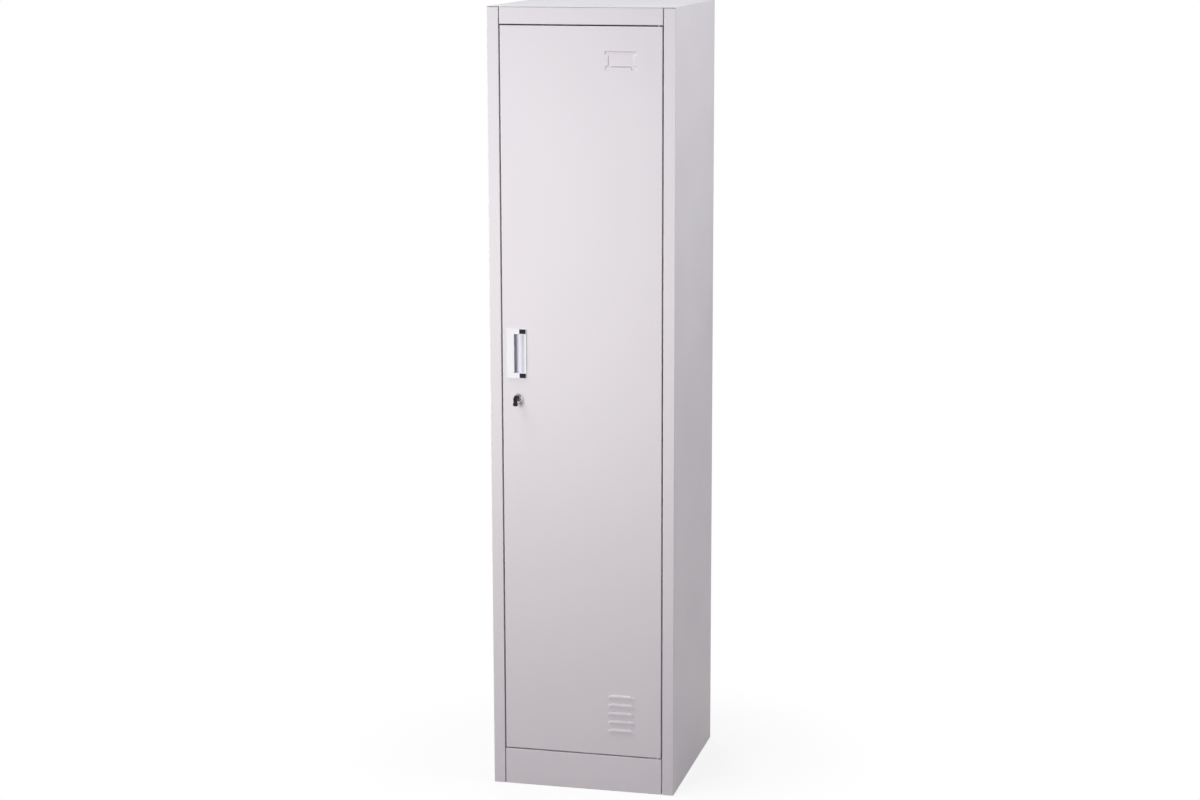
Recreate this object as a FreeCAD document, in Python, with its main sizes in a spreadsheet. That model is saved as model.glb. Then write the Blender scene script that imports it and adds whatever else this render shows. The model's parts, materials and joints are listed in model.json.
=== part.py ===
import FreeCAD, Part
import os
from collections import namedtuple
import Sketcher

# Single-door steel locker: folded sheet carcass, a door on two concealed pivot pins,
# a recessed pull, and a cam lock with a folding key.
# Frame: +X to the right seen from the front, +Y to the back, +Z up.
# The origin is the middle of the base, on the floor.

Vector = FreeCAD.Vector
Rotation = FreeCAD.Rotation

# Driving dimensions in millimetres: alias, value, meaning.
SIZES = (
    ("cabinet_width", 440.0, "outside of the left wall to outside of the right wall"),
    ("cabinet_depth", 450.0, "front of the posts to back of the side panels"),
    ("cabinet_height", 1850.0, "floor to top sheet"),
    ("gauge", 0.8, "thickness of every folded sheet"),
    ("bend", 0.8, "inside radius of a fold"),
    ("post_width", 27.2, "front face of a post"),
    ("stop_depth", 24.0, "front of a post to the front of its stop lip"),
    ("stop_lip", 15.0, "width of a stop lip"),
    ("fascia_height", 40.0, "top of the locker to the lower edge of the fascia"),
    ("plinth_height", 87.0, "front band below the door, and height of the locker's floor"),
    ("frame_seam", 1.8, "seam between a post and the fascia or plinth"),
    ("cap_seam", 1.2, "seam under the front edge of the top sheet"),
    ("frame_lip", 12.0, "folded-in edge of fascia, base tray and shelf"),
    ("rear_flange", 15.0, "flange of a side panel behind the back panel"),
    ("top_flange", 15.0, "flange of a side panel under the top sheet"),
    ("flange_relief", 15.0, "ends of the top flange to its neighbours"),
    ("top_drop", 20.0, "rear flange of the top panel"),
    ("back_fold", 12.0, "folded edges of the back panel"),
    ("panel_fit", 0.3, "clearance between nested sheets"),
    ("notch_gap", 0.5, "end of a stop lip to the end of the door"),
    ("wall_hole", 8.0, "diameter of a wall fixing hole"),
    ("wall_hole_spacing", 240.0, "distance between the wall fixing holes"),
    ("wall_hole_drop", 70.0, "top of the locker to the wall fixing holes"),
    ("hat_height", 340.0, "top of the locker to the shelf"),
    ("shelf_edge", 20.0, "height of the shelf's folded edges"),
    ("shelf_setback", 20.0, "stop lip to the front of the shelf"),
    ("bracket_leg", 20.0, "legs of a shelf bracket"),
    ("bracket_setback", 20.0, "front of the shelf to a shelf bracket"),
    ("bracket_length", 340.0, "length of a shelf bracket"),
    ("rail_diameter", 25.0, "outside of the hanging rail"),
    ("rail_wall", 1.2, "wall of the hanging rail"),
    ("rail_drop", 46.0, "underside of the shelf to the middle of the rail"),
    ("rail_inset", 2.0, "shelf bracket to a rail socket"),
    ("socket_wall", 3.0, "wall of a rail socket"),
    ("socket_depth", 12.0, "how far the rail goes into a socket"),
    ("socket_foot", 40.0, "foot of a rail socket"),
    ("rivet_diameter", 4.0, "shank of a rail rivet"),
    ("rivet_head", 8.0, "head of a rail rivet"),
    ("rivet_crown", 1.4, "height of a rivet's head"),
    ("rivet_spacing", 26.0, "distance between the two rivets of a socket"),
    ("door_gap", 3.0, "gap round the door"),
    ("door_depth", 18.0, "front of the door to its back"),
    ("door_flange", 12.0, "folded-in edge of the door"),
    ("hinge_inset", 9.8, "edge of the door to the pivot axis"),
    ("hinge_setback", 8.0, "front of the door to the pivot axis"),
    ("pivot_diameter", 5.0, "hinge pin"),
    ("pivot_tip", 3.0, "narrowed end of a hinge pin"),
    ("pivot_reach", 18.0, "how far a hinge pin goes into the door"),
    ("pivot_collar", 7.0, "collar that carries the door, and heads of the pins"),
    ("pivot_head", 2.5, "height of a hinge pin's head"),
    ("pivot_clearance", 0.05, "radial clearance of a hinge pin in its bush"),
    ("bush_diameter", 9.0, "shank of a hinge bush"),
    ("bush_flange", 13.0, "flange of a hinge bush"),
    ("bush_rim", 1.5, "thickness of a bush's flange"),
    ("hinge_plate", 2.5, "thickness of a hinge plate"),
    ("hinge_plate_length", 42.0, "length of a hinge plate"),
    ("stiffener_width", 60.0, "web of the door stiffener"),
    ("stiffener_height", 12.0, "depth of the door stiffener"),
    ("stiffener_flange", 12.0, "flanges of the door stiffener"),
    ("stiffener_margin", 60.0, "ends of the stiffener to the ends of the door"),
    ("press_backset", 96.3, "hinge edge of the door to the middle of card frame and louvres"),
    ("card_drop", 55.2, "top of the door to the top of the card frame"),
    ("card_width", 75.0, "card frame across its ears"),
    ("card_waist", 60.0, "card frame between its ears"),
    ("card_height", 44.0, "card frame with its lower ears"),
    ("card_window", 36.0, "top edge of the card frame to its straight lower edge"),
    ("card_ear", 9.0, "height of an ear"),
    ("card_slope", 3.0, "sloped side of an ear"),
    ("card_foot", 6.0, "how far a lower ear reaches in below the window"),
    ("card_depth", 2.0, "depth of the card frame's pressing"),
    ("card_wall", 1.8, "width of the card frame's sloped wall"),
    ("card_slot", 1.2, "slit along the card frame's straight lower edge"),
    ("louvre_rise", 58.3, "bottom of the door to the lowest louvre"),
    ("louvre_length", 66.0, "louvre at its mouth"),
    ("louvre_height", 7.6, "mouth of a louvre to its top"),
    ("louvre_throw", 3.4, "how far a louvre stands out"),
    ("louvre_taper", 8.0, "how much shorter each end of a louvre is at its top"),
    ("louvre_pitch", 20.8, "distance between louvres"),
    ("louvre_count", 5, "number of louvres"),
    ("lock_backset", 36.3, "free edge of the door to the middle of the lock"),
    ("lock_height", 947.0, "floor to the middle of the lock"),
    ("pull_rise", 103.8, "middle of the lock up to the middle of the pull"),
    ("pull_shift", 1.5, "middle of the lock to the middle of the pull, towards the door's free edge"),
    ("pull_width", 46.0, "bezel of the pull"),
    ("pull_length", 116.4, "bezel of the pull, top to bottom"),
    ("pull_thickness", 3.5, "how far the bezel stands out from the door"),
    ("pull_band", 16.5, "bezel beside the free edge of the door"),
    ("pull_rim", 4.0, "bezel beside the ledge"),
    ("pull_end", 12.5, "bezel above and below the finger opening"),
    ("pull_round", 1.2, "rounded edge of the bezel"),
    ("cup_depth", 15.0, "depth of the finger cup behind the door's face"),
    ("cup_wall", 1.2, "wall of the finger cup"),
    ("cup_undercut", 8.0, "how far the cup reaches behind the bezel's band"),
    ("cup_floor", 17.0, "flat floor of the cup, before the ramp"),
    ("cup_ledge", 5.0, "flat ledge between the ramp and the bezel's rim"),
    ("cup_lip", 1.6, "depth of the ledge"),
    ("cup_bend", 7.0, "round between the cup's floor and its ramp"),
    ("ledge_round", 3.0, "round between the ramp and the ledge"),
    ("cup_corner", 3.0, "round behind the bezel's band"),
    ("cut_fit", 0.3, "clearance of the cup and the lock in the door"),
    ("insert_width", 15.4, "black insert of the pull"),
    ("insert_height", 10.8, "black insert of the pull"),
    ("insert_depth", 1.5, "thickness of an insert"),
    ("insert_side", 0.8, "insert to the bezel's edge beside it"),
    ("insert_end", 0.7, "insert to the bezel's end"),
    ("pull_boss", 6.0, "diameter of a locating boss"),
    ("pull_screw", 3.5, "diameter of a pull screw"),
    ("pull_screw_head", 8.0, "head of a pull screw"),
    ("pull_screw_top", 5.6, "flat on a pull screw's head"),
    ("pull_screw_crown", 2.1, "height of a pull screw's head"),
    ("ring_diameter", 24.0, "lock ring on the door"),
    ("ring_height", 4.5, "how far the lock ring stands out"),
    ("ring_bevel", 1.5, "bevel of the lock ring"),
    ("housing_diameter", 18.8, "lock housing through the door"),
    ("plug_diameter", 12.0, "barrel of the lock plug"),
    ("plug_head", 15.0, "head of the lock plug"),
    ("plug_seat", 2.0, "height of the plug's head"),
    ("plug_clearance", 0.05, "clearance of the plug in its housing"),
    ("nut_flats", 24.0, "lock nut across its flats"),
    ("nut_height", 5.0, "lock nut"),
    ("cam_gap", 0.6, "clearance of the cam behind the stop lip"),
    ("cam_thickness", 2.0, "lock cam"),
    ("cam_width", 16.0, "lock cam"),
    ("cam_reach", 33.0, "middle of the lock to the tip of the cam"),
    ("cam_round", 7.0, "rounded corners above the cam's screw"),
    ("cam_tip_round", 4.8, "rounded corners of the cam's tip"),
    ("cam_square", 7.0, "square that drives the cam"),
    ("cam_screw", 4.0, "diameter of the cam screw"),
    ("cam_screw_length", 8.0, "length of the cam screw"),
    ("cam_screw_head", 9.0, "head of the cam screw"),
    ("cam_screw_top", 7.0, "flat on the cam screw's head"),
    ("cam_screw_crown", 2.4, "height of the cam screw's head"),
    ("keyway_width", 2.4, "slot for the key"),
    ("keyway_height", 8.4, "slot for the key"),
    ("keyway_depth", 22.0, "depth of the slot"),
    ("key_clearance", 0.1, "clearance of the key in its slot"),
    ("key_stop", 2.0, "clearance at the bottom of the slot"),
    ("key_point", 4.0, "sloped end of the blade"),
    ("key_cut", 1.4, "depth of the key's notches"),
    ("key_cut_width", 2.4, "width of a notch"),
    ("key_cut_pitch", 3.4, "distance between the key's notches"),
    ("key_cut_count", 4, "notches of the key"),
    ("collar_gap", 1.5, "lock ring to the key's collar"),
    ("collar_width", 10.0, "key collar"),
    ("collar_height", 11.0, "key collar"),
    ("collar_length", 13.0, "key collar"),
    ("collar_round", 2.0, "rounded edges of the collar"),
    ("collar_socket", 6.0, "how far the blade goes into the collar"),
    ("tongue_width", 3.5, "hinge tongue of the collar"),
    ("knuckle_diameter", 6.0, "round end of the hinge tongue"),
    ("knuckle_offset", 3.6, "collar to the axis of the key's head"),
    ("fold_clearance", 0.15, "side clearance of the head on the tongue"),
    ("fold_pin", 2.0, "diameter of the key's hinge pin"),
    ("fold_pin_clearance", 0.05, "radial clearance of the head on its pin"),
    ("head_neck", 9.2, "key's head at its hinge"),
    ("head_waist", 8.0, "narrow part of the key's head"),
    ("head_width", 11.6, "widest part of the key's head"),
    ("head_tip", 7.0, "end of the key's head"),
    ("head_waist_drop", 8.0, "hinge axis to the narrow part"),
    ("head_swell_drop", 11.6, "hinge axis to where the head is widest"),
    ("head_curl_drop", 14.8, "hinge axis to where the head narrows again"),
    ("head_length", 17.5, "hinge axis to the end of the key's head"),
    ("head_thickness", 5.0, "key's head"),
    ("head_round", 1.2, "rounded edges of the key's head"),
    ("head_gap", 0.6, "hinge tongue to the head below it"),
    ("screw_diameter", 5.0, "carcass screw"),
    ("screw_head", 9.0, "head of a carcass screw"),
    ("screw_top", 5.4, "flat on a carcass screw's head"),
    ("screw_crown", 2.0, "height of a carcass screw's head"),
    ("screw_rim", 0.7, "straight rim of a carcass screw's head"),
    ("screw_fit", 0.25, "radial clearance of a carcass screw in its holes"),
    ("screw_nut_flats", 8.0, "carcass nut across its flats"),
    ("screw_nut_height", 4.0, "carcass nut"),
    ("screw_tail", 1.0, "screw end past its nut"),
    ("back_screw_rows", 4, "screws up each edge of the back panel"),
    ("back_screw_margin", 120.0, "end screws to floor and top"),
    ("back_screw_spread", 240.0, "between the two screws in the top or base"),
    ("buffer_diameter", 9.0, "door buffer"),
    ("buffer_tip", 7.2, "end of a buffer that meets the door"),
    ("buffer_gap", 0.3, "buffer to the closed door"),
    ("buffer_stem", 4.8, "stem of a buffer"),
    ("buffer_button", 7.0, "retaining end of a buffer"),
    ("buffer_tail", 1.5, "thickness of the retaining end"),
    ("buffer_count", 2, "door buffers"),
    ("buffer_margin", 420.0, "end buffers to the ends of the door"),
)

# Places worked out from the driving dimensions.
PLACES = (
    ("half", "sizes.cabinet_width / 2"),
    ("front", "-sizes.cabinet_depth / 2"),
    ("back", "sizes.cabinet_depth / 2"),
    ("outer_bend", "sizes.bend + sizes.gauge"),
    ("front_inside", "front + sizes.gauge"),
    ("wall_x", "half - sizes.gauge"),
    ("post_x", "half - sizes.post_width"),
    ("lip_x", "post_x - sizes.stop_lip"),
    ("stop_y", "front + sizes.stop_depth"),
    ("lip_y", "stop_y + sizes.gauge"),
    ("back_x", "wall_x - sizes.panel_fit"),
    ("tray_x", "back_x - sizes.gauge - sizes.panel_fit"),
    ("back_y", "back - 2 * sizes.gauge"),
    ("seam_x", "post_x - sizes.frame_seam"),
    ("fascia_z", "sizes.cabinet_height - sizes.fascia_height"),
    ("sheet_z", "sizes.cabinet_height - sizes.gauge"),
    ("shelf_z", "sizes.cabinet_height - sizes.hat_height"),
    ("shelf_y", "lip_y + sizes.shelf_setback"),
    ("bracket_y", "shelf_y + sizes.bracket_setback"),
    ("bracket_z", "shelf_z - sizes.shelf_edge"),
    ("rail_y", "(shelf_y + back_y) / 2"),
    ("rail_z", "shelf_z - sizes.gauge - sizes.rail_drop"),
    ("socket_x", "wall_x - sizes.bracket_leg - sizes.rail_inset - sizes.socket_wall"),
    ("rivet_x", "socket_x - sizes.socket_foot / 2"),
    ("door_x", "post_x - sizes.door_gap"),
    ("door_low", "sizes.plinth_height + sizes.door_gap"),
    ("door_high", "fascia_z - sizes.door_gap"),
    ("door_back", "front + sizes.door_depth"),
    ("hinge_x", "door_x - sizes.hinge_inset"),
    ("hinge_y", "front + sizes.hinge_setback"),
    ("bush_grip", "sizes.gauge + sizes.hinge_plate"),
    ("press_x", "door_x - sizes.press_backset"),
    ("card_z", "door_high - sizes.card_drop"),
    ("louvre_z", "door_low + sizes.louvre_rise"),
    ("lock_x", "sizes.lock_backset - door_x"),
    ("pull_x", "lock_x - sizes.pull_shift"),
    ("pull_z", "sizes.lock_height + sizes.pull_rise"),
    ("cam_z", "-sizes.stop_depth - sizes.gauge - sizes.cam_gap"),
    ("cam_back", "cam_z - sizes.cam_thickness"),
    ("window_top", "sizes.pull_length / 2 - sizes.pull_end"),
    ("window_left", "sizes.pull_band - sizes.pull_width / 2"),
    ("window_right", "sizes.pull_width / 2 - sizes.pull_rim"),
    ("ledge_x", "window_right - sizes.cup_ledge"),
    ("cup_left", "window_left - sizes.cup_undercut"),
    ("cup_ramp", "cup_left + sizes.cup_floor"),
    ("cup_base", "sizes.cup_wall - sizes.cup_depth"),
    ("boss_y", "sizes.pull_length / 2 - sizes.pull_end / 2"),
    ("insert_x", "sizes.pull_width / 2 - sizes.insert_side - sizes.insert_width"),
    ("insert_y", "sizes.pull_length / 2 - sizes.insert_end - sizes.insert_height"),
    ("insert_z", "sizes.pull_thickness - sizes.insert_depth"),
    ("blade_x", "sizes.keyway_width / 2 - sizes.key_clearance"),
    ("blade_y", "sizes.keyway_height / 2 - sizes.key_clearance"),
    ("blade_z", "sizes.ring_height - sizes.keyway_depth + sizes.key_stop"),
    ("collar_z", "sizes.ring_height + sizes.collar_gap"),
    ("tang_z", "collar_z + sizes.collar_socket"),
    ("collar_end", "collar_z + sizes.collar_length"),
    ("fold_z", "collar_end + sizes.knuckle_offset"),
    ("frame_screw_y", "front + sizes.stop_depth / 2"),
    ("flange_x", "half - sizes.rear_flange / 2"),
    ("spread_x", "sizes.back_screw_spread / 2"),
    ("top_screw_z", "sizes.cabinet_height - sizes.top_drop / 2"),
    ("base_screw_z", "sizes.plinth_height / 2"),
    ("fascia_screw_z", "sizes.cabinet_height - sizes.fascia_height / 2"),
    ("wall_hole_z", "sizes.cabinet_height - sizes.wall_hole_drop"),
    ("screw_hole", "sizes.screw_diameter / 2 + sizes.screw_fit"),
    ("buffer_x", "sizes.stop_lip / 2 - post_x"),
)

# Levels of a louvre: share of its height, and share of its throw there.
LOUVRE_LEVELS = ((0.0, 1.0), (0.5, 1.0), (0.64, 0.92), (1.0, 0.06))

# Plane square to each axis, and which way its normal points along that axis.
PLANES = {"x": ("YZ_Plane", 1), "y": ("XZ_Plane", -1), "z": ("XY_Plane", 1)}

# A fitting on the door, or a back screw, has its local Z along -Y and its local Y up.
TO_THE_FRONT = Rotation(Vector(1, 0, 0), 90)
UPRIGHT = Rotation()
UPSIDE_DOWN = Rotation(Vector(1, 0, 0), 180)

# Two points closer than this are the same point.
TOUCH = 1e-4
# A cut starts and ends this far past the faces that it breaks through.
CLEAR = 1.0

Hole = namedtuple("Hole", "x y radius")

doc = FreeCAD.newDocument("metal_locker")
sizes = doc.addObject("Spreadsheet::Sheet", "sizes")
places = doc.addObject("Spreadsheet::Sheet", "places")
nodes = []


def fill_sheets():
    for row, (alias, number, meaning) in enumerate(SIZES, start=1):
        sizes.set(f"A{row}", meaning)
        sizes.set(f"B{row}", str(number))
        sizes.setAlias(f"B{row}", alias)
    doc.recompute()
    for row, (alias, formula) in enumerate(PLACES, start=1):
        places.set(f"A{row}", f"={formula}")
        places.setAlias(f"A{row}", alias)
        doc.recompute()


def value(expression):
    return float(sizes.evalExpression(expression))


# Drawing helpers: every corner, radius and length is bound to an expression.

def new_body(label, kept=True):
    body = doc.addObject("PartDesign::Body", label)
    body.Label = label
    if kept:
        nodes.append(body)
    return body


def place(item, x, y, z, turn=UPRIGHT):
    item.Placement = FreeCAD.Placement(Vector(value(x), value(y), value(z)), turn)
    for axis, expression in zip("xyz", (x, y, z)):
        item.setExpression(f"Placement.Base.{axis}", expression)


def sketch_at(body, axis, level):
    """An empty sketch square to an axis, at a level along it."""
    plane, sign = PLANES[axis]
    sketch = body.newObject("Sketcher::SketchObject", "Sketch")
    support = next(item for item in body.Origin.OriginFeatures if item.Role == plane)
    sketch.AttachmentSupport = (support, [""])
    sketch.MapMode = "FlatFace"
    sketch.setExpression("AttachmentOffset.Base.z", f"{sign} * ({level})")
    return sketch


def pin_point(sketch, geometry, point, x, y):
    for kind, expression in (("DistanceX", x), ("DistanceY", y)):
        constraint = Sketcher.Constraint(kind, -1, 1, geometry, point, value(expression))
        index = sketch.addConstraint(constraint)
        sketch.setExpression(f"Constraints[{index}]", expression)


def draw_corners(sketch, corners):
    points = [Vector(value(x), value(y), 0) for x, y in corners]
    first = sketch.GeometryCount
    count = len(points)
    for index in range(count):
        edge = Part.LineSegment(points[index], points[(index + 1) % count])
        sketch.addGeometry(edge, False)
    for index, (x, y) in enumerate(corners):
        here = first + index
        following = first + (index + 1) % count
        sketch.addConstraint(Sketcher.Constraint("Coincident", here, 2, following, 1))
        pin_point(sketch, here, 1, x, y)


def draw_circle(sketch, hole):
    middle = Vector(value(hole.x), value(hole.y), 0)
    ring = Part.Circle(middle, Vector(0, 0, 1), value(hole.radius))
    geometry = sketch.addGeometry(ring, False)
    pin_point(sketch, geometry, 3, hole.x, hole.y)
    index = sketch.addConstraint(Sketcher.Constraint("Radius", geometry, value(hole.radius)))
    sketch.setExpression(f"Constraints[{index}]", hole.radius)


def drawing(body, axis, level, outlines):
    """A sketch with outlines: each is a list of corners, or a Hole."""
    sketch = sketch_at(body, axis, level)
    for outline in outlines:
        if isinstance(outline, Hole):
            draw_circle(sketch, outline)
        else:
            draw_corners(sketch, outline)
    return sketch


def add_feature(body, kind, **settings):
    feature = body.newObject(f"PartDesign::{kind}", kind)
    for name, setting in settings.items():
        setattr(feature, name, setting)
    body.Tip = feature
    return feature


def pad(body, axis, start, end, *outlines):
    """Adds material along an axis, from start up to end."""
    sketch = drawing(body, axis, start, outlines)
    feature = add_feature(body, "Pad", Profile=sketch, Reversed=(axis == "y"))
    feature.setExpression("Length", f"({end}) - ({start})")
    doc.recompute()


def cut(body, axis, start, end, *outlines):
    """Takes material away along an axis, from start up to end."""
    before = body.Tip.Shape.Volume
    sketch = drawing(body, axis, start, outlines)
    feature = add_feature(body, "Pocket", Profile=sketch, Reversed=(axis != "y"))
    feature.setExpression("Length", f"({end}) - ({start})")
    doc.recompute()
    if feature.Shape.Volume > before - TOUCH:
        raise ValueError(f"a cut in {body.Label} takes nothing away")


def corner(x=None, y=None, z=None):
    """The edges that lie at the given coordinates."""
    given = [(index, value(level)) for index, level in enumerate((x, y, z)) if level is not None]

    def holds(edge):
        return all(abs(vertex.Point[index] - level) < TOUCH for vertex in edge.Vertexes for index, level in given)
    return holds


def fillet(body, radius, *corners):
    """Rounds the edges that lie at any of the corners."""
    base = body.Tip
    edges = enumerate(base.Shape.Edges, start=1)
    names = [f"Edge{index}" for index, edge in edges if any(holds(edge) for holds in corners)]
    if not names:
        raise ValueError(f"no edge of {body.Label} is there to be rounded")
    feature = add_feature(body, "Fillet", Base=(base, names))
    feature.setExpression("Radius", radius)
    doc.recompute()


def turned(label, outline, kept=True):
    """A turned piece: the outline holds radius and height, and turns about local Z."""
    body = new_body(label, kept)
    sketch = drawing(body, "y", "0", [outline])
    add_feature(body, "Revolution", Profile=sketch, ReferenceAxis=(sketch, ["V_Axis"]), Angle=360.0)
    doc.recompute()
    return body


def box(left, right, low, high):
    return [(left, low), (right, low), (right, high), (left, high)]


def both_sides(right):
    """Closes an outline that is the same on both sides of the middle."""
    return right + [(f"-({x})", y) for x, y in reversed(right)]


def repeated(label, pattern, spots):
    """Copies of one piece, as separate solids in one node; a spot is a place and a turn."""
    copies = []
    for x, y, z, turn in spots:
        copy = doc.addObject("App::Link", f"{label}_copy")
        copy.LinkedObject = pattern
        place(copy, x, y, z, turn)
        copies.append(copy)
    node = doc.addObject("Part::Compound", label)
    node.Label = label
    node.Links = copies
    nodes.append(node)


def steps(low, high, count):
    """Expressions for evenly spaced places from low to high."""
    share = f"(({high}) - ({low})) / ({count} - 1)"
    return [f"{low} + {index} * {share}" for index in range(int(value(count)))]


def folded_pan(body, axis, low, high, outline, opening, lips_high):
    """A sheet folded back all round, with folded-in lips round its opening.

    outline(inset) gives the corners of the face, drawn in by inset.
    The lips are at the high or the low end of the axis, and the face is at the other.
    """
    pad(body, axis, low, high, outline("0"))
    cut(body, axis, f"{low} + sizes.gauge", f"{high} - sizes.gauge", outline("sizes.gauge"))
    if lips_high:
        cut(body, axis, f"{high} - sizes.gauge", high, opening)
    else:
        cut(body, axis, low, f"{low} + sizes.gauge", opening)


# Carcass

def back_screw_heights():
    high = "sizes.cabinet_height - sizes.back_screw_margin"
    return steps("sizes.back_screw_margin", high, "sizes.back_screw_rows")


def buffer_heights():
    low = "places.door_low + sizes.buffer_margin"
    return steps(low, "places.door_high - sizes.buffer_margin", "sizes.buffer_count")


def side_panel(label, side):
    """Wall, rear flange, front post and stop lip from one sheet; side is 1 or -1."""
    body = new_body(label)
    rim = f"{side} * (places.half - sizes.rear_flange)"
    wall = f"{side} * places.half"
    wall_inside = f"{side} * places.wall_x"
    post = f"{side} * places.post_x"
    post_inside = f"{side} * (places.post_x + sizes.gauge)"
    lip = f"{side} * places.lip_x"
    front = "places.front"
    front_inside = "places.front_inside"
    back = "places.back"
    back_inside = "places.back - sizes.gauge"
    stop = "places.stop_y"
    stop_inside = "places.lip_y"
    pad(body, "z", "0", "places.sheet_z", [
        (rim, back), (wall, back), (wall, front), (post, front), (post, stop), (lip, stop),
        (lip, stop_inside), (post_inside, stop_inside), (post_inside, front_inside),
        (wall_inside, front_inside), (wall_inside, back_inside), (rim, back_inside)])
    fillet(body, "places.outer_bend", corner(x=wall, y=back), corner(x=wall, y=front),
           corner(x=post, y=front), corner(x=post_inside, y=stop_inside))
    fillet(body, "sizes.bend", corner(x=wall_inside, y=back_inside), corner(x=wall_inside, y=front_inside),
           corner(x=post_inside, y=front_inside), corner(x=post, y=stop))
    pad(body, "z", "places.sheet_z - sizes.gauge", "places.sheet_z", box(
        f"{side} * (places.half - sizes.top_flange)", f"{side} * (places.half - sizes.gauge / 2)",
        "places.lip_y + sizes.flange_relief", "places.back_y - sizes.back_fold - sizes.flange_relief"))
    cut(body, "z", "places.sheet_z - sizes.cap_seam", "places.sheet_z", box(
        f"{side} * (places.post_x - {CLEAR})", f"{side} * (places.half + {CLEAR})",
        f"places.front - {CLEAR}", "places.front + places.outer_bend"))
    lip_ends = (("0", "places.door_low - sizes.notch_gap"),
                ("places.door_high + sizes.notch_gap", "places.sheet_z"))
    for low, high in lip_ends:
        cut(body, "z", low, high, box(f"{side} * (places.lip_x - {CLEAR})", post,
                                      f"places.stop_y - {CLEAR}", f"places.lip_y + {CLEAR}"))
    rear_holes = [Hole(f"{side} * places.flange_x", height, "places.screw_hole") for height in back_screw_heights()]
    cut(body, "y", back_inside, f"places.back + {CLEAR}", *rear_holes)
    post_holes = [Hole("places.frame_screw_y", height, "places.screw_hole")
                  for height in ("places.base_screw_z", "places.fascia_screw_z")]
    cut(body, "x", f"{post} - sizes.gauge - {CLEAR}", f"{post} + sizes.gauge + {CLEAR}", *post_holes)
    return body


def left_side_panel():
    """The lip of the left post also carries the door buffers."""
    body = side_panel("left_side_panel", -1)
    holes = [Hole("places.buffer_x", height, "sizes.buffer_stem / 2") for height in buffer_heights()]
    cut(body, "y", f"places.stop_y - {CLEAR}", f"places.lip_y + {CLEAR}", *holes)


def back_panel():
    body = new_body("back_panel")
    rear = "places.back - sizes.gauge"
    inside = "places.back_x - sizes.gauge"
    fold = "places.back_y - sizes.back_fold"
    pad(body, "z", "0", "places.sheet_z", both_sides([
        ("places.back_x", rear), ("places.back_x", fold), (inside, fold), (inside, "places.back_y")]))
    fillet(body, "places.outer_bend", corner(x="places.back_x", y=rear), corner(x="-places.back_x", y=rear))
    fillet(body, "sizes.bend", corner(x=inside, y="places.back_y"), corner(x=f"-({inside})", y="places.back_y"))
    holes = []
    for side in (-1, 1):
        holes += [Hole(f"{side} * places.flange_x", height, "places.screw_hole") for height in back_screw_heights()]
        holes += [Hole(f"{side} * places.spread_x", height, "places.screw_hole")
                  for height in ("places.top_screw_z", "places.base_screw_z")]
        holes.append(Hole(f"{side} * sizes.wall_hole_spacing / 2", "places.wall_hole_z", "sizes.wall_hole / 2"))
    cut(body, "y", f"places.back_y - {CLEAR}", f"places.back_y + sizes.gauge + {CLEAR}", *holes)


def top_panel():
    """The top sheet covers posts and walls; the fascia is a channel between the posts.

    A seam shows between the sheet's front edge and what is below it.
    """
    body = new_body("top_panel")

    def outline(inset):
        return box(f"-(places.seam_x - {inset})", f"places.seam_x - {inset}",
                   f"places.fascia_z + {inset}", f"places.sheet_z - {inset}")
    side = "places.seam_x - sizes.frame_lip"
    opening = box(f"-({side})", side, "places.fascia_z + sizes.frame_lip", "places.sheet_z - sizes.gauge")
    folded_pan(body, "y", "places.front", "places.stop_y", outline, opening, lips_high=True)
    fillet(body, "places.outer_bend", corner(y="places.front"))
    fillet(body, "sizes.bend", corner(y="places.front_inside"))
    pad(body, "z", "places.sheet_z", "sizes.cabinet_height",
        box("-places.half", "places.half", "places.front", "places.back"))
    fillet(body, "places.outer_bend", *[corner(x=x, y=y) for x in ("-places.half", "places.half")
                                        for y in ("places.front", "places.back")])
    cut(body, "z", "places.sheet_z - sizes.cap_seam", "places.sheet_z", box(
        "-places.half", "places.half", f"places.front - {CLEAR}", "places.front + places.outer_bend"))
    reach = "places.tray_x - sizes.back_fold"
    pad(body, "y", "places.back_y - sizes.gauge", "places.back_y",
        box(f"-({reach})", reach, "sizes.cabinet_height - sizes.top_drop", "sizes.cabinet_height - sizes.gauge / 2"))
    rear_holes = [Hole(f"{side} * places.spread_x", "places.top_screw_z", "places.screw_hole") for side in (-1, 1)]
    cut(body, "y", f"places.back_y - sizes.gauge - {CLEAR}", f"places.back_y + {CLEAR}", *rear_holes)
    cut(body, "x", f"-places.seam_x - {CLEAR}", f"places.seam_x + {CLEAR}",
        Hole("places.frame_screw_y", "places.fascia_screw_z", "places.screw_hole"))
    cut(body, "z", f"places.fascia_z - {CLEAR}", f"places.fascia_z + sizes.gauge + {CLEAR}",
        Hole("places.hinge_x", "places.hinge_y", "sizes.pivot_diameter / 2"))


def base_outline(inset):
    """The base is narrow between the posts and wide behind them."""
    narrow = f"places.seam_x - {inset}"
    wide = f"places.tray_x - {inset}"
    step = f"places.lip_y + sizes.panel_fit + {inset}"
    return both_sides([(narrow, f"places.front + {inset}"), (narrow, step), (wide, step),
                       (wide, f"places.back_y - {inset}")])


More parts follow.
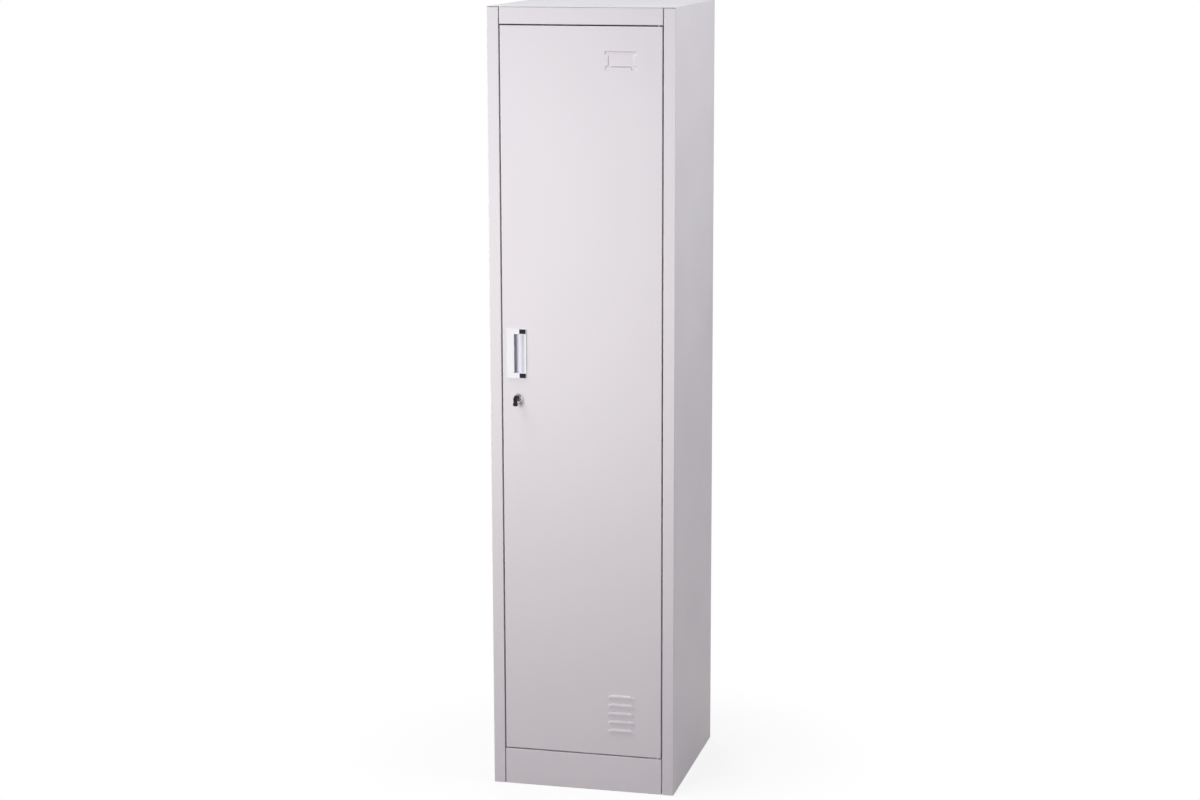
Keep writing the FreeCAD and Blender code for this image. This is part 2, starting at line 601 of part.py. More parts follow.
def base_tray():
    """Plinth and floor in one: a tray upside down, open below inside its lip.

    At its front corners the floor goes on as tongues, which close the hollow posts.
    """
    body = new_body("base_tray")
    folded_pan(body, "z", "0", "sizes.plinth_height", base_outline, base_outline("sizes.frame_lip"), lips_high=False)
    rear_corners = [corner(x=x, y="places.back_y") for x in ("-places.tray_x", "places.tray_x")]
    fillet(body, "places.outer_bend", corner(y="places.front"), corner(z="sizes.plinth_height"), *rear_corners)
    inside = "places.seam_x - sizes.gauge"
    fillet(body, "sizes.bend", corner(z="sizes.plinth_height - sizes.gauge"),
           corner(x=inside, y="places.front_inside"), corner(x=f"-({inside})", y="places.front_inside"))
    tongues = [box(f"{side} * (places.post_x + sizes.gauge + sizes.panel_fit)",
                   f"{side} * (places.tray_x - places.outer_bend)",
                   "places.front_inside + sizes.panel_fit", "places.lip_y + sizes.frame_lip") for side in (-1, 1)]
    pad(body, "z", "sizes.plinth_height - sizes.gauge", "sizes.plinth_height", *tongues)
    cut(body, "x", f"-places.seam_x - {CLEAR}", f"places.seam_x + {CLEAR}",
        Hole("places.frame_screw_y", "places.base_screw_z", "places.screw_hole"))
    rear_holes = [Hole(f"{side} * places.spread_x", "places.base_screw_z", "places.screw_hole") for side in (-1, 1)]
    cut(body, "y", f"places.back_y - sizes.gauge - {CLEAR}", f"places.back_y + {CLEAR}", *rear_holes)
    cut(body, "z", f"sizes.plinth_height - sizes.gauge - {CLEAR}", f"sizes.plinth_height + {CLEAR}",
        Hole("places.hinge_x", "places.hinge_y", "sizes.pivot_diameter / 2"))


# Shelf and hanging rail

def rivet_spots():
    for side in (-1, 1):
        for end in (-1, 1):
            yield f"{side} * places.rivet_x", f"places.rail_y + {end} * sizes.rivet_spacing / 2"


def shelf():
    body = new_body("shelf")

    def outline(inset):
        return box(f"-(places.tray_x - {inset})", f"places.tray_x - {inset}",
                   f"places.shelf_y + {inset}", f"places.back_y - sizes.panel_fit - {inset}")
    folded_pan(body, "z", "places.bracket_z", "places.shelf_z", outline, outline("sizes.frame_lip"), lips_high=False)
    fillet(body, "places.outer_bend", corner(z="places.shelf_z"))
    fillet(body, "sizes.bend", corner(z="places.shelf_z - sizes.gauge"))
    holes = [Hole(x, y, "sizes.rivet_diameter / 2") for x, y in rivet_spots()]
    cut(body, "z", f"places.shelf_z - sizes.gauge - {CLEAR}", f"places.shelf_z + {CLEAR}", *holes)


def shelf_bracket(label, side):
    """An angle welded to the side wall; the shelf's folded edge stands on it."""
    body = new_body(label)
    place(body, f"{side} * places.wall_x", "places.bracket_y", "places.bracket_z")
    leg = f"{-side} * sizes.bracket_leg"
    inner = f"{-side} * sizes.gauge"
    pad(body, "y", "0", "sizes.bracket_length", [
        ("0", "0"), (leg, "0"), (leg, "-sizes.gauge"), (inner, "-sizes.gauge"),
        (inner, "-sizes.bracket_leg"), ("0", "-sizes.bracket_leg")])
    fillet(body, "sizes.bend", corner(x=inner, z="-sizes.gauge"))
    fillet(body, "places.outer_bend", corner(x="0", z="0"))


def hanging_rail():
    body = new_body("hanging_rail")
    place(body, "0", "places.rail_y", "places.rail_z")
    end = "places.socket_x - sizes.panel_fit"
    radius = "sizes.rail_diameter / 2"
    pad(body, "x", f"-({end})", end, Hole("0", "0", radius), Hole("0", "0", f"{radius} - sizes.rail_wall"))


def rail_socket(label, side):
    """A foot under the shelf, a plate down to the rail and a cup for the rail's end."""
    body = new_body(label)
    turn = UPRIGHT if side > 0 else Rotation(Vector(0, 0, 1), 180)
    place(body, f"{side} * places.socket_x", "places.rail_y", "places.shelf_z - sizes.gauge", turn)
    half = "sizes.socket_foot / 2"
    cup = "sizes.rail_diameter / 2 + sizes.socket_wall"
    pad(body, "x", "0", "sizes.socket_wall", both_sides([(half, "0"), (cup, "-sizes.rail_drop")]))
    pad(body, "x", "-sizes.socket_depth", "sizes.socket_wall", Hole("0", "-sizes.rail_drop", cup))
    pad(body, "z", "-sizes.socket_wall", "0", box("-sizes.socket_foot", "sizes.socket_wall", f"-{half}", half))
    cut(body, "x", "-sizes.socket_depth", "0", Hole("0", "-sizes.rail_drop", "sizes.rail_diameter / 2"))
    holes = [Hole(f"-{half}", f"{end} * sizes.rivet_spacing / 2", "sizes.rivet_diameter / 2") for end in (-1, 1)]
    cut(body, "z", f"-sizes.socket_wall - {CLEAR}", str(CLEAR), *holes)


def rail_rivets():
    """Domed heads above the shelf and under the socket's foot."""
    shank = "sizes.rivet_diameter / 2"
    head = "sizes.rivet_head / 2"
    under = "-(sizes.gauge + sizes.socket_wall)"
    crown = "sizes.rivet_crown"
    pattern = turned("rail_rivet", [
        ("0", f"{under} - {crown}"), (shank, f"{under} - {crown}"), (head, f"{under} - {crown} / 2"),
        (head, under), (shank, under), (shank, "0"), (head, "0"), (head, f"{crown} / 2"),
        (shank, crown), ("0", crown)], kept=False)
    repeated("rail_rivets", pattern, [(x, y, "places.shelf_z", UPRIGHT) for x, y in rivet_spots()])


# Hinges

def top_hinge_pin():
    """Drops through the fascia's folded edge into the door; its head rests on the fold."""
    radius = "sizes.pivot_diameter / 2"
    head = "sizes.pivot_collar / 2"
    tip = "-(sizes.door_gap + sizes.pivot_reach)"
    narrow = "sizes.pivot_tip / 2"
    body = turned("top_hinge_pin", [
        ("0", tip), (narrow, tip), (radius, f"{tip} + {radius}"), (radius, "sizes.gauge"), (head, "sizes.gauge"),
        (head, "sizes.gauge + sizes.pivot_head"), ("0", "sizes.gauge + sizes.pivot_head")])
    place(body, "places.hinge_x", "places.hinge_y", "places.fascia_z")


def bottom_hinge_pin():
    """Riveted into the base; its collar fills the gap and carries the door."""
    radius = "sizes.pivot_diameter / 2"
    collar = "sizes.pivot_collar / 2"
    rivet = "-(sizes.gauge + sizes.pivot_head)"
    tip = "sizes.door_gap + sizes.pivot_reach"
    body = turned("bottom_hinge_pin", [
        ("0", rivet), (collar, rivet), (collar, "-sizes.gauge"), (radius, "-sizes.gauge"), (radius, "0"),
        (collar, "0"), (collar, "sizes.door_gap"), (radius, "sizes.door_gap"), (radius, f"{tip} - {radius}"),
        ("sizes.pivot_tip / 2", tip), ("0", tip)])
    place(body, "places.hinge_x", "places.hinge_y", "sizes.plinth_height")


def hinge_bush(label, height, turn):
    """A flanged bush pushed through hinge plate and door edge from inside the door."""
    bore = "sizes.pivot_diameter / 2 + sizes.pivot_clearance"
    shank = "sizes.bush_diameter / 2"
    rim = "sizes.bush_flange / 2"
    seat = "places.bush_grip"
    top = "places.bush_grip + sizes.bush_rim"
    body = turned(label, [(bore, "0"), (shank, "0"), (shank, seat), (rim, seat), (rim, top), (bore, top)])
    place(body, "places.hinge_x", "places.hinge_y", height, turn)


def hinge_plate(label, height, turn):
    """A plate welded inside the end of the door, round the hinge bush."""
    body = new_body(label)
    place(body, "places.hinge_x", "places.hinge_y", height, turn)
    edge = "sizes.hinge_inset - places.outer_bend - sizes.panel_fit"
    near = "places.outer_bend + sizes.panel_fit - sizes.hinge_setback"
    far = "sizes.door_depth - sizes.gauge - sizes.panel_fit - sizes.hinge_setback"
    sides = (near, far) if turn == UPRIGHT else (f"-({far})", f"-({near})")
    pad(body, "z", "sizes.gauge", "places.bush_grip", box(f"{edge} - sizes.hinge_plate_length", edge, *sides))
    cut(body, "z", f"sizes.gauge - {CLEAR}", f"places.bush_grip + {CLEAR}", Hole("0", "0", "sizes.bush_diameter / 2"))


# Door

def card_outline(grow):
    """Card frame: a straight top edge, a waist, and ears at the four corners."""
    top = "places.card_z"
    ear = f"sizes.card_width / 2 + {grow}"
    waist = f"sizes.card_waist / 2 + {grow}"
    foot = f"sizes.card_waist / 2 - sizes.card_foot + {grow}"
    low = f"{top} - sizes.card_height - {grow}"
    upper_ear = f"{top} - sizes.card_ear - {grow}"
    lower_ear = f"{top} - sizes.card_height + sizes.card_ear + {grow}"
    outline = both_sides([
        (ear, f"{top} + {grow}"), (ear, upper_ear), (waist, f"{upper_ear} - sizes.card_slope"),
        (waist, f"{lower_ear} + sizes.card_slope"), (ear, lower_ear), (ear, low),
        (f"{foot} + sizes.card_slope / 2", low), (foot, f"{top} - sizes.card_window - {grow}")])
    return [(f"places.press_x + {x}", z) for x, z in outline]


def card_frame(body):
    """A shallow pressing with sloped walls, and a slit where the card slides in."""
    recess = "places.front + sizes.card_depth"
    back = ("AdditiveLoft", "places.front + sizes.gauge / 2", "sizes.gauge",
            f"{recess} + sizes.gauge", "(sizes.gauge - sizes.card_wall)")
    hollow = ("SubtractiveLoft", "places.front", "0", recess, "(-sizes.card_wall)")
    for kind, start, mouth, end, floor in (back, hollow):
        levels = [drawing(body, "y", start, [card_outline(mouth)]), drawing(body, "y", end, [card_outline(floor)])]
        doc.recompute()
        add_feature(body, kind, Profile=levels[0], Sections=levels[1:], Ruled=True)
        doc.recompute()
    reach = "sizes.card_waist / 2 - sizes.card_foot - sizes.card_wall"
    low = "places.card_z - sizes.card_window"
    cut(body, "y", f"places.front - {CLEAR}", f"{recess} + sizes.gauge + {CLEAR}", box(
        f"places.press_x - ({reach})", f"places.press_x + {reach}", low, f"{low} + sizes.card_slot"))


def louvre_section(body, height, throw, inset, root):
    """One level of a louvre, in plan; inset draws in its outline by the sheet's thickness."""
    half = f"sizes.louvre_length / 2 - {height} * sizes.louvre_taper - {inset}"
    crest = f"{half} - {throw} * sizes.louvre_throw"
    face = f"places.front - {throw} * sizes.louvre_throw + {inset}"
    corners = [(f"places.press_x + {x}", y) for x, y in both_sides([(crest, face), (half, root)])]
    return drawing(body, "z", f"places.louvre_z + {height} * sizes.louvre_height", [corners])


def louvres(body):
    """One pressed hood, open below, and its copies up the door."""
    hood = ("AdditiveLoft", "0", "places.front + sizes.gauge / 2")
    hollow = ("SubtractiveLoft", "sizes.gauge", f"places.front_inside + {CLEAR}")
    made = []
    for kind, inset, root in (hood, hollow):
        levels = [louvre_section(body, height, throw, inset, root) for height, throw in LOUVRE_LEVELS]
        doc.recompute()
        made.append(add_feature(body, kind, Profile=levels[0], Sections=levels[1:], Ruled=True))
        doc.recompute()
    up = next(item for item in body.Origin.OriginFeatures if item.Role == "Z_Axis")
    pattern = add_feature(body, "LinearPattern", Originals=made, Direction=(up, [""]))
    pattern.setExpression("Length", "sizes.louvre_pitch * (sizes.louvre_count - 1)")
    pattern.setExpression("Occurrences", "sizes.louvre_count")
    doc.recompute()


def door_panel():
    """A pan with a pressed card frame, louvres, and cut-outs for pull, lock and hinges."""
    body = new_body("door_panel")

    def outline(inset):
        return box(f"-(places.door_x - {inset})", f"places.door_x - {inset}",
                   f"places.door_low + {inset}", f"places.door_high - {inset}")
    folded_pan(body, "y", "places.front", "places.door_back", outline, outline("sizes.door_flange"), lips_high=True)
    fillet(body, "places.outer_bend", corner(y="places.front"))
    fillet(body, "sizes.bend", corner(y="places.front_inside"))
    card_frame(body)
    louvres(body)
    fit = "sizes.cup_wall + sizes.cut_fit"
    cup_hole = box(f"places.pull_x + places.cup_left - ({fit})", f"places.pull_x + places.window_right + {fit}",
                   f"places.pull_z - places.window_top - ({fit})",
                   f"places.pull_z + places.window_top + {fit}")
    lock_hole = Hole("places.lock_x", "sizes.lock_height", "sizes.housing_diameter / 2 + sizes.cut_fit")
    boss_holes = [Hole("places.pull_x", f"places.pull_z + {end} * places.boss_y", "sizes.pull_boss / 2")
                  for end in (-1, 1)]
    cut(body, "y", f"places.front - {CLEAR}", f"places.front_inside + {CLEAR}", cup_hole, lock_hole, *boss_holes)
    cut(body, "z", f"places.door_low - {CLEAR}", f"places.door_high + {CLEAR}",
        Hole("places.hinge_x", "places.hinge_y", "sizes.bush_diameter / 2"))


def door_stiffener():
    """A hat section up the middle of the door, its flanges on the back of the skin."""
    body = new_body("door_stiffener")
    place(body, "0", "places.front_inside", "places.door_low + sizes.stiffener_margin")
    web = "sizes.stiffener_width / 2"
    inside = f"{web} - sizes.gauge"
    flange = f"{web} + sizes.stiffener_flange"
    height = "sizes.stiffener_height"
    length = "places.door_high - places.door_low - 2 * sizes.stiffener_margin"
    pad(body, "z", "0", length, both_sides([
        (inside, f"{height} - sizes.gauge"), (inside, "0"), (flange, "0"), (flange, "sizes.gauge"),
        (web, "sizes.gauge"), (web, height)]))


def door_buffers():
    """Rubber buffers pushed through the stop lip on the lock's side."""
    head = "sizes.buffer_diameter / 2"
    stem = "sizes.buffer_stem / 2"
    rear = "-sizes.gauge"
    tail = "-sizes.gauge - sizes.buffer_tail"
    reach = "sizes.stop_depth - sizes.door_depth - sizes.buffer_gap"
    pattern = turned("door_buffer", [
        ("0", tail), (stem, tail), ("sizes.buffer_button / 2", rear), (stem, rear), (stem, "0"), (head, "0"),
        ("sizes.buffer_tip / 2", reach), ("0", reach)], kept=False)
    repeated("door_buffers", pattern, [("places.buffer_x", "places.stop_y", height, TO_THE_FRONT)
                                       for height in buffer_heights()])


# Recessed pull: local X to the right, local Y up, local Z out of the door

def place_pull(body):
    place(body, "places.pull_x", "places.front", "places.pull_z", TO_THE_FRONT)


def handle_bezel():
    body = new_body("handle_bezel")
    place_pull(body)
    wide = "sizes.pull_width / 2"
    tall = "sizes.pull_length / 2"
    pad(body, "z", "0", "sizes.pull_thickness", box(f"-{wide}", wide, f"-{tall}", tall))
    fillet(body, "sizes.pull_round", corner(z="sizes.pull_thickness"))
    ends = ("-places.boss_y", "places.boss_y")
    pad(body, "z", "-sizes.gauge", "0", *[Hole("0", y, "sizes.pull_boss / 2") for y in ends])
    cut(body, "z", f"-{CLEAR}", f"sizes.pull_thickness + {CLEAR}",
        box("places.window_left", "places.window_right", "-places.window_top", "places.window_top"))
    near = "places.insert_y"
    far = "places.insert_y + sizes.insert_height"
    right = "places.insert_x + sizes.insert_width"
    cut(body, "z", "places.insert_z", f"sizes.pull_thickness + {CLEAR}",
        box("places.insert_x", right, near, far), box("places.insert_x", right, f"-({far})", f"-{near}"))
    cut(body, "z", f"-sizes.gauge - {CLEAR}", "places.insert_z", *[Hole("0", y, "sizes.pull_screw / 2") for y in ends])


def handle_inserts():
    """Two black squares set into the ends of the bezel."""
    pattern = new_body("handle_insert", kept=False)
    pad(pattern, "z", "places.insert_z", "sizes.pull_thickness",
        box("places.insert_x", "places.insert_x + sizes.insert_width", "0", "sizes.insert_height"))
    heights = ("places.insert_y", "(-places.insert_y - sizes.insert_height)")
    repeated("handle_inserts", pattern, [("places.pull_x", "places.front", f"places.pull_z + {y}", TO_THE_FRONT)
                                         for y in heights])


def cup_section(grow, top):
    """Section of the cup: a deep floor behind the band, a ramp up from it, and a ledge."""
    left = f"places.cup_left - {grow}"
    right = f"places.window_right + {grow}"
    floor = f"places.cup_base - {grow}"
    ledge = f"-sizes.cup_lip - {grow}"
    return [(left, top), (left, floor), (f"places.cup_ramp + {grow} / 2", floor),
            (f"places.ledge_x + {grow} / 2", ledge), (right, ledge), (right, top)]


def handle_cup():
    body = new_body("handle_cup")
    place_pull(body)
    end = "places.window_top + sizes.cup_wall"
    under = "places.cup_base - sizes.cup_wall"
    pad(body, "y", f"-({end})", end, cup_section("sizes.cup_wall", "0"))
    cut(body, "y", "-places.window_top", "places.window_top", cup_section("0", str(CLEAR)))
    fillet(body, "sizes.cup_bend", corner(x="places.cup_ramp", z="places.cup_base"))
    fillet(body, "sizes.cup_corner", corner(x="places.cup_left", z="places.cup_base"))
    fillet(body, "sizes.ledge_round", corner(x="places.ledge_x", z="-sizes.cup_lip"))
    fillet(body, "sizes.cup_bend + sizes.cup_wall", corner(x="places.cup_ramp + sizes.cup_wall / 2", z=under))
    fillet(body, "sizes.cup_corner + sizes.cup_wall", corner(x="places.cup_left - sizes.cup_wall", z=under))


def handle_screws():
    shank = "sizes.pull_screw / 2"
    head = "sizes.pull_screw_head / 2"
    crown = "sizes.pull_screw_crown"
    pattern = turned("handle_screw", [
        ("0", f"-sizes.gauge - {crown}"), ("sizes.pull_screw_top / 2", f"-sizes.gauge - {crown}"),
        (head, f"-sizes.gauge - {crown} / 2"), (head, "-sizes.gauge"), (shank, "-sizes.gauge"),
        (shank, "places.insert_z"), ("0", "places.insert_z")], kept=False)
    repeated("handle_screws", pattern, [
        ("places.pull_x", "places.front", f"places.pull_z + {end} * places.boss_y", TO_THE_FRONT)
        for end in (-1, 1)])


# Cam lock and key: local X to the right, local Y up, local Z out of the door

def place_lock(item):
    place(item, "places.lock_x", "places.front", "sizes.lock_height", TO_THE_FRONT)


def lock_housing():
    bore = "sizes.plug_diameter / 2 + sizes.plug_clearance"
    seat = "sizes.plug_head / 2 + sizes.plug_clearance"
    shank = "sizes.housing_diameter / 2"
    ring = "sizes.ring_diameter / 2"
    rear = "places.cam_z + sizes.panel_fit"
    top = "sizes.ring_height"
    shoulder = f"{top} - sizes.plug_seat - sizes.plug_clearance"
    body = turned("lock_housing", [
        (bore, rear), (shank, rear), (shank, "0"), (ring, "0"), (ring, f"{top} - sizes.ring_bevel"),
        (f"{ring} - sizes.ring_bevel", top), (seat, top), (seat, shoulder), (bore, shoulder)])
    place_lock(body)


def lock_nut():
    """A hexagon nut that clamps the housing to the back of the door's skin."""
    blank = doc.addObject("Part::Prism", "lock_nut_blank")
    blank.Polygon = 6
    blank.setExpression("Circumradius", "sizes.nut_flats / sqrt(3)")
    blank.setExpression("Height", "sizes.nut_height")
    bore = doc.addObject("Part::Cylinder", "lock_nut_bore")
    bore.setExpression("Radius", "sizes.housing_diameter / 2")
    bore.setExpression("Height", "sizes.nut_height")
    nut = doc.addObject("Part::Cut", "lock_nut")
    nut.Label = "lock_nut"
    nut.Base = blank
    nut.Tool = bore
    place(nut, "places.lock_x", "places.front_inside + sizes.nut_height", "sizes.lock_height", TO_THE_FRONT)
    nodes.append(nut)


def lock_plug():
    barrel = "sizes.plug_diameter / 2"
    head = "sizes.plug_head / 2"
    top = "sizes.ring_height"
    shoulder = f"{top} - sizes.plug_seat"
    body = turned("lock_plug", [("0", "places.cam_z"), (barrel, "places.cam_z"), (barrel, shoulder),
                                (head, shoulder), (head, top), ("0", top)])
    place_lock(body)
    side = "sizes.cam_square / 2"
    pad(body, "z", "places.cam_back", "places.cam_z", box(f"-{side}", side, f"-{side}", side))
    wide = "sizes.keyway_width / 2"
    tall = "sizes.keyway_height / 2"
    cut(body, "z", f"{top} - sizes.keyway_depth", f"{top} + {CLEAR}", box(f"-{wide}", wide, f"-{tall}", tall))
    cut(body, "z", f"places.cam_back - {CLEAR}", "places.cam_back + sizes.cam_screw_length",
        Hole("0", "0", "sizes.cam_screw / 2"))


def lock_cam():
    """Hangs down at rest, clear of the stop lip; a quarter turn brings it behind the lip."""
    body = new_body("lock_cam")
    place_lock(body)
    half = "sizes.cam_width / 2"
    tip = "-sizes.cam_reach"
    pad(body, "z", "places.cam_back", "places.cam_z", box(f"-{half}", half, tip, half))
    fillet(body, "sizes.cam_round", corner(x=half, y=half), corner(x=f"-{half}", y=half))
    fillet(body, "sizes.cam_tip_round", corner(x=half, y=tip), corner(x=f"-{half}", y=tip))
    side = "sizes.cam_square / 2"
    cut(body, "z", f"places.cam_back - {CLEAR}", f"places.cam_z + {CLEAR}", box(f"-{side}", side, f"-{side}", side))


def cam_screw():
    shank = "sizes.cam_screw / 2"
    head = "sizes.cam_screw_head / 2"
    seat = "places.cam_back"
    crown = f"{seat} - sizes.cam_screw_crown"
    tip = f"{seat} + sizes.cam_screw_length"
    body = turned("cam_screw", [
        ("0", crown), ("sizes.cam_screw_top / 2", crown), (head, f"{seat} - sizes.cam_screw_crown / 2"),
        (head, seat), (shank, seat), (shank, tip), ("0", tip)])
    place_lock(body)


def key_blade():
    """A flat blade with notches along its lower edge and a tang in the collar."""
    body = new_body("key_blade")
    place_lock(body)
    edge = "places.blade_y"
    tip = "places.blade_z"
    outline = [(edge, "places.tang_z"), (edge, f"{tip} + sizes.key_point"), ("0", tip), (f"-{edge} / 2", tip)]
    for index in range(int(value("sizes.key_cut_count"))):
        start = f"{tip} + sizes.key_point / 2 + {index} * sizes.key_cut_pitch"
        outline += [(f"-{edge}", start), (f"sizes.key_cut - {edge}", f"{start} + sizes.key_cut_width / 2"),
                    (f"-{edge}", f"{start} + sizes.key_cut_width")]
    outline.append((f"-{edge}", "places.tang_z"))
    pad(body, "x", "-places.blade_x", "places.blade_x", outline)


def key_collar():
    """Black collar on the blade, with the tongue that the folding head hangs on."""
    body = new_body("key_collar")
    place_lock(body)
    wide = "sizes.collar_width / 2"
    tall = "sizes.collar_height / 2"
    pad(body, "z", "places.collar_z", "places.collar_end", box(f"-{wide}", wide, f"-{tall}", tall))
    fillet(body, "sizes.collar_round", *[corner(x=x, y=y) for x in (wide, f"-{wide}") for y in (tall, f"-{tall}")])
    radius = "sizes.knuckle_diameter / 2"
    side = "sizes.tongue_width / 2"
    root = "places.collar_end - sizes.collar_round"
    pad(body, "x", f"-{side}", side, box(f"-{radius}", radius, root, "places.fold_z"))
    pad(body, "x", f"-{side}", side, Hole("0", "places.fold_z", radius))
    cut(body, "z", f"places.collar_z - {CLEAR}", "places.tang_z",
        box("-places.blade_x", "places.blade_x", "-places.blade_y", "places.blade_y"))
    cut(body, "x", f"-{side} - {CLEAR}", f"{side} + {CLEAR}", Hole("0", "places.fold_z", "sizes.fold_pin / 2"))


def key_pin():
    pin = doc.addObject("Part::Cylinder", "key_pin")
    pin.Label = "key_pin"
    pin.setExpression("Radius", "sizes.fold_pin / 2")
    pin.setExpression("Height", "sizes.head_neck")
    place(pin, "places.lock_x - sizes.head_neck / 2", "places.front - places.fold_z", "sizes.lock_height",
          Rotation(Vector(0, 1, 0), 90))
    nodes.append(pin)


def key_head():
    """Black head that hangs from the collar and folds out in line with the blade."""
    body = new_body("key_head")
    place_lock(body)
    half = "sizes.head_thickness / 2"
    rear = f"places.fold_z - {half}"
    front = f"places.fold_z + {half}"
    neck = "sizes.head_neck / 2"
    top = "-(sizes.knuckle_diameter / 2 + sizes.head_gap)"
    pad(body, "z", rear, front, both_sides([
        (neck, top), ("sizes.head_waist / 2", "-sizes.head_waist_drop"), ("sizes.head_width / 2", "-sizes.head_swell_drop"),
        ("sizes.head_width / 2", "-sizes.head_curl_drop"), ("sizes.head_tip / 2", "-sizes.head_length")]))
    fillet(body, "sizes.head_round", corner(z=rear), corner(z=front))
    inner = "sizes.tongue_width / 2 + sizes.fold_clearance"
    for start, end in ((inner, neck), (f"-{neck}", f"-({inner})")):
        pad(body, "x", start, end, box(f"{top} - {half}", "0", rear, front))
        pad(body, "x", start, end, Hole("0", "places.fold_z", half))
    cut(body, "x", f"-{neck} - {CLEAR}", f"{neck} + {CLEAR}",
        Hole("0", "places.fold_z", "sizes.fold_pin / 2 + sizes.fold_pin_clearance"))


# Carcass fasteners: local Z runs from the head's seat to the tip

def carcass_screw(label, grip):
    shank = "sizes.screw_diameter / 2"
    head = "sizes.screw_head / 2"
    tip = f"{grip} + sizes.screw_nut_height + sizes.screw_tail"
    return turned(label, [
        ("0", "-sizes.screw_crown"), ("sizes.screw_top / 2", "-sizes.screw_crown"), (head, "-sizes.screw_rim"),
        (head, "0"), (shank, "0"), (shank, tip), ("0", tip)], kept=False)


def carcass_nut(label, grip):
    body = new_body(label, kept=False)
    radius = "sizes.screw_nut_flats / sqrt(3)"
    hexagon = [(f"{radius} * cos({60 * index} deg)", f"{radius} * sin({60 * index} deg)") for index in range(6)]
    pad(body, "z", grip, f"{grip} + sizes.screw_nut_height", hexagon, Hole("0", "0", "sizes.screw_diameter / 2"))
    return body


def frame_fasteners():
    """One screw through each end of fascia and plinth into the post beside it."""
    grip = "2 * sizes.gauge + sizes.frame_seam"
    spots = []
    for side in (-1, 1):
        outward = Rotation(Vector(0, 1, 0), 90 * side)
        for height in ("places.base_screw_z", "places.fascia_screw_z"):
            spots.append((f"{side} * (places.seam_x - sizes.gauge)", "places.frame_screw_y", height, outward))
    repeated("frame_screws", carcass_screw("frame_screw", grip), spots)
    repeated("frame_nuts", carcass_nut("frame_nut", grip), spots)


def back_fasteners():
    """Heads behind the locker; the edge screws hold its flanges, the others hold top and base."""
    grip = "2 * sizes.gauge"
    spots = []
    for side in (-1, 1):
        for height in back_screw_heights():
            spots.append((f"{side} * places.flange_x", "places.back", height, TO_THE_FRONT))
        for height in ("places.top_screw_z", "places.base_screw_z"):
            spots.append((f"{side} * places.spread_x", "places.back - sizes.gauge", height, TO_THE_FRONT))
    repeated("back_screws", carcass_screw("back_screw", grip), spots)
    repeated("back_nuts", carcass_nut("back_nut", grip), spots)


def build():
    fill_sheets()
    left_side_panel()
    side_panel("right_side_panel", 1)
    back_panel()
    top_panel()
    base_tray()
    shelf()
    shelf_bracket("left_shelf_bracket", -1)
    shelf_bracket("right_shelf_bracket", 1)
    hanging_rail()
    rail_socket("left_rail_socket", -1)
    rail_socket("right_rail_socket", 1)
    rail_rivets()
    top_hinge_pin()
    bottom_hinge_pin()
    for label, height, turn in (("top", "places.door_high", UPSIDE_DOWN), ("bottom", "places.door_low", UPRIGHT)):
        hinge_bush(f"{label}_hinge_bush", height, turn)
        hinge_plate(f"{label}_hinge_plate", height, turn)
    door_panel()
    door_stiffener()
    door_buffers()
    handle_bezel()
    handle_cup()
    handle_inserts()
    handle_screws()
    lock_housing()
    lock_nut()
    lock_plug()
    lock_cam()
    cam_screw()
    key_blade()
    key_collar()
    key_pin()
    key_head()
    frame_fasteners()
    back_fasteners()
    doc.recompute()


def check():
    """Nothing is written unless every object is sound."""
    for item in doc.Objects:
        if "Invalid" in item.State or "Error" in item.State:
            raise ValueError(f"{item.Label} did not build")
    for node in nodes:
        if node.Shape.isNull() or not node.Shape.isValid() or not node.Shape.Solids:
            raise ValueError(f"{node.Label} has no sound shape")


def write():
    os.makedirs("parts", exist_ok=True)
    for node in nodes:
        node.Shape.exportStep(f"parts/{node.Label}.step")
        print(node.Label, len(node.Shape.Solids), round(node.Shape.Volume, 1))


build()
check()
write()
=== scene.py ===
# %% [markdown]
# # A steel locker
# The CAD model gives every piece its true size and place. This lesson dresses it: a camera where
# the photographer stood, a white studio, finishes made of nodes, and finer versions of the small
# fittings, modelled with the same operators that the menus offer.

# %% Load the frame
import json
import math
import bmesh
import bpy
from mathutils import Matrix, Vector


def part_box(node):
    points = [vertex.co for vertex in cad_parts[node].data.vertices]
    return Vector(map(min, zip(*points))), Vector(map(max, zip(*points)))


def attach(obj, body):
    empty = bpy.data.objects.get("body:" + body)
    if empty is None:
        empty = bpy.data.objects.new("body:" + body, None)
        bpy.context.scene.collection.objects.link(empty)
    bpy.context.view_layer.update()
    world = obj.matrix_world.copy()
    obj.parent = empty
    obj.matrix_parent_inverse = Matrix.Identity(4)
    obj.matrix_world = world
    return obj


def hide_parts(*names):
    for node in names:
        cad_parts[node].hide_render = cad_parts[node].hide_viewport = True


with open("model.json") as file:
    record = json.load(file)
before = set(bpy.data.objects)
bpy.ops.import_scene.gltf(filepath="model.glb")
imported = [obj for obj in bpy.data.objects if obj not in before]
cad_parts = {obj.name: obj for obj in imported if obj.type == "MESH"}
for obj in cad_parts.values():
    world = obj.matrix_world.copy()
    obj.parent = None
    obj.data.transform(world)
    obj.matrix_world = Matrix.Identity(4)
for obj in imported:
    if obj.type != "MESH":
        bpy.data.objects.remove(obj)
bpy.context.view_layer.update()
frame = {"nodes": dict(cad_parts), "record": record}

nodes = frame["nodes"]

# %% [markdown]
# ## Camera
# A product photographer stands well back with a long lens, so that upright edges stay nearly
# parallel and the locker fills the frame from top to bottom. The place, turn and lens were worked
# out from the carcass's corners.

# %% Camera
SENSOR_WIDTH = 36.0
LENS = 77.315
QUARTER_TURN = math.pi / 2
CAMERA_PLACE = (1.4317, -5.9188, 2.0946)
CAMERA_YAW = math.radians(13.676)
CAMERA_PITCH = math.radians(-11.062)
CAMERA_ROLL = math.radians(0.128)

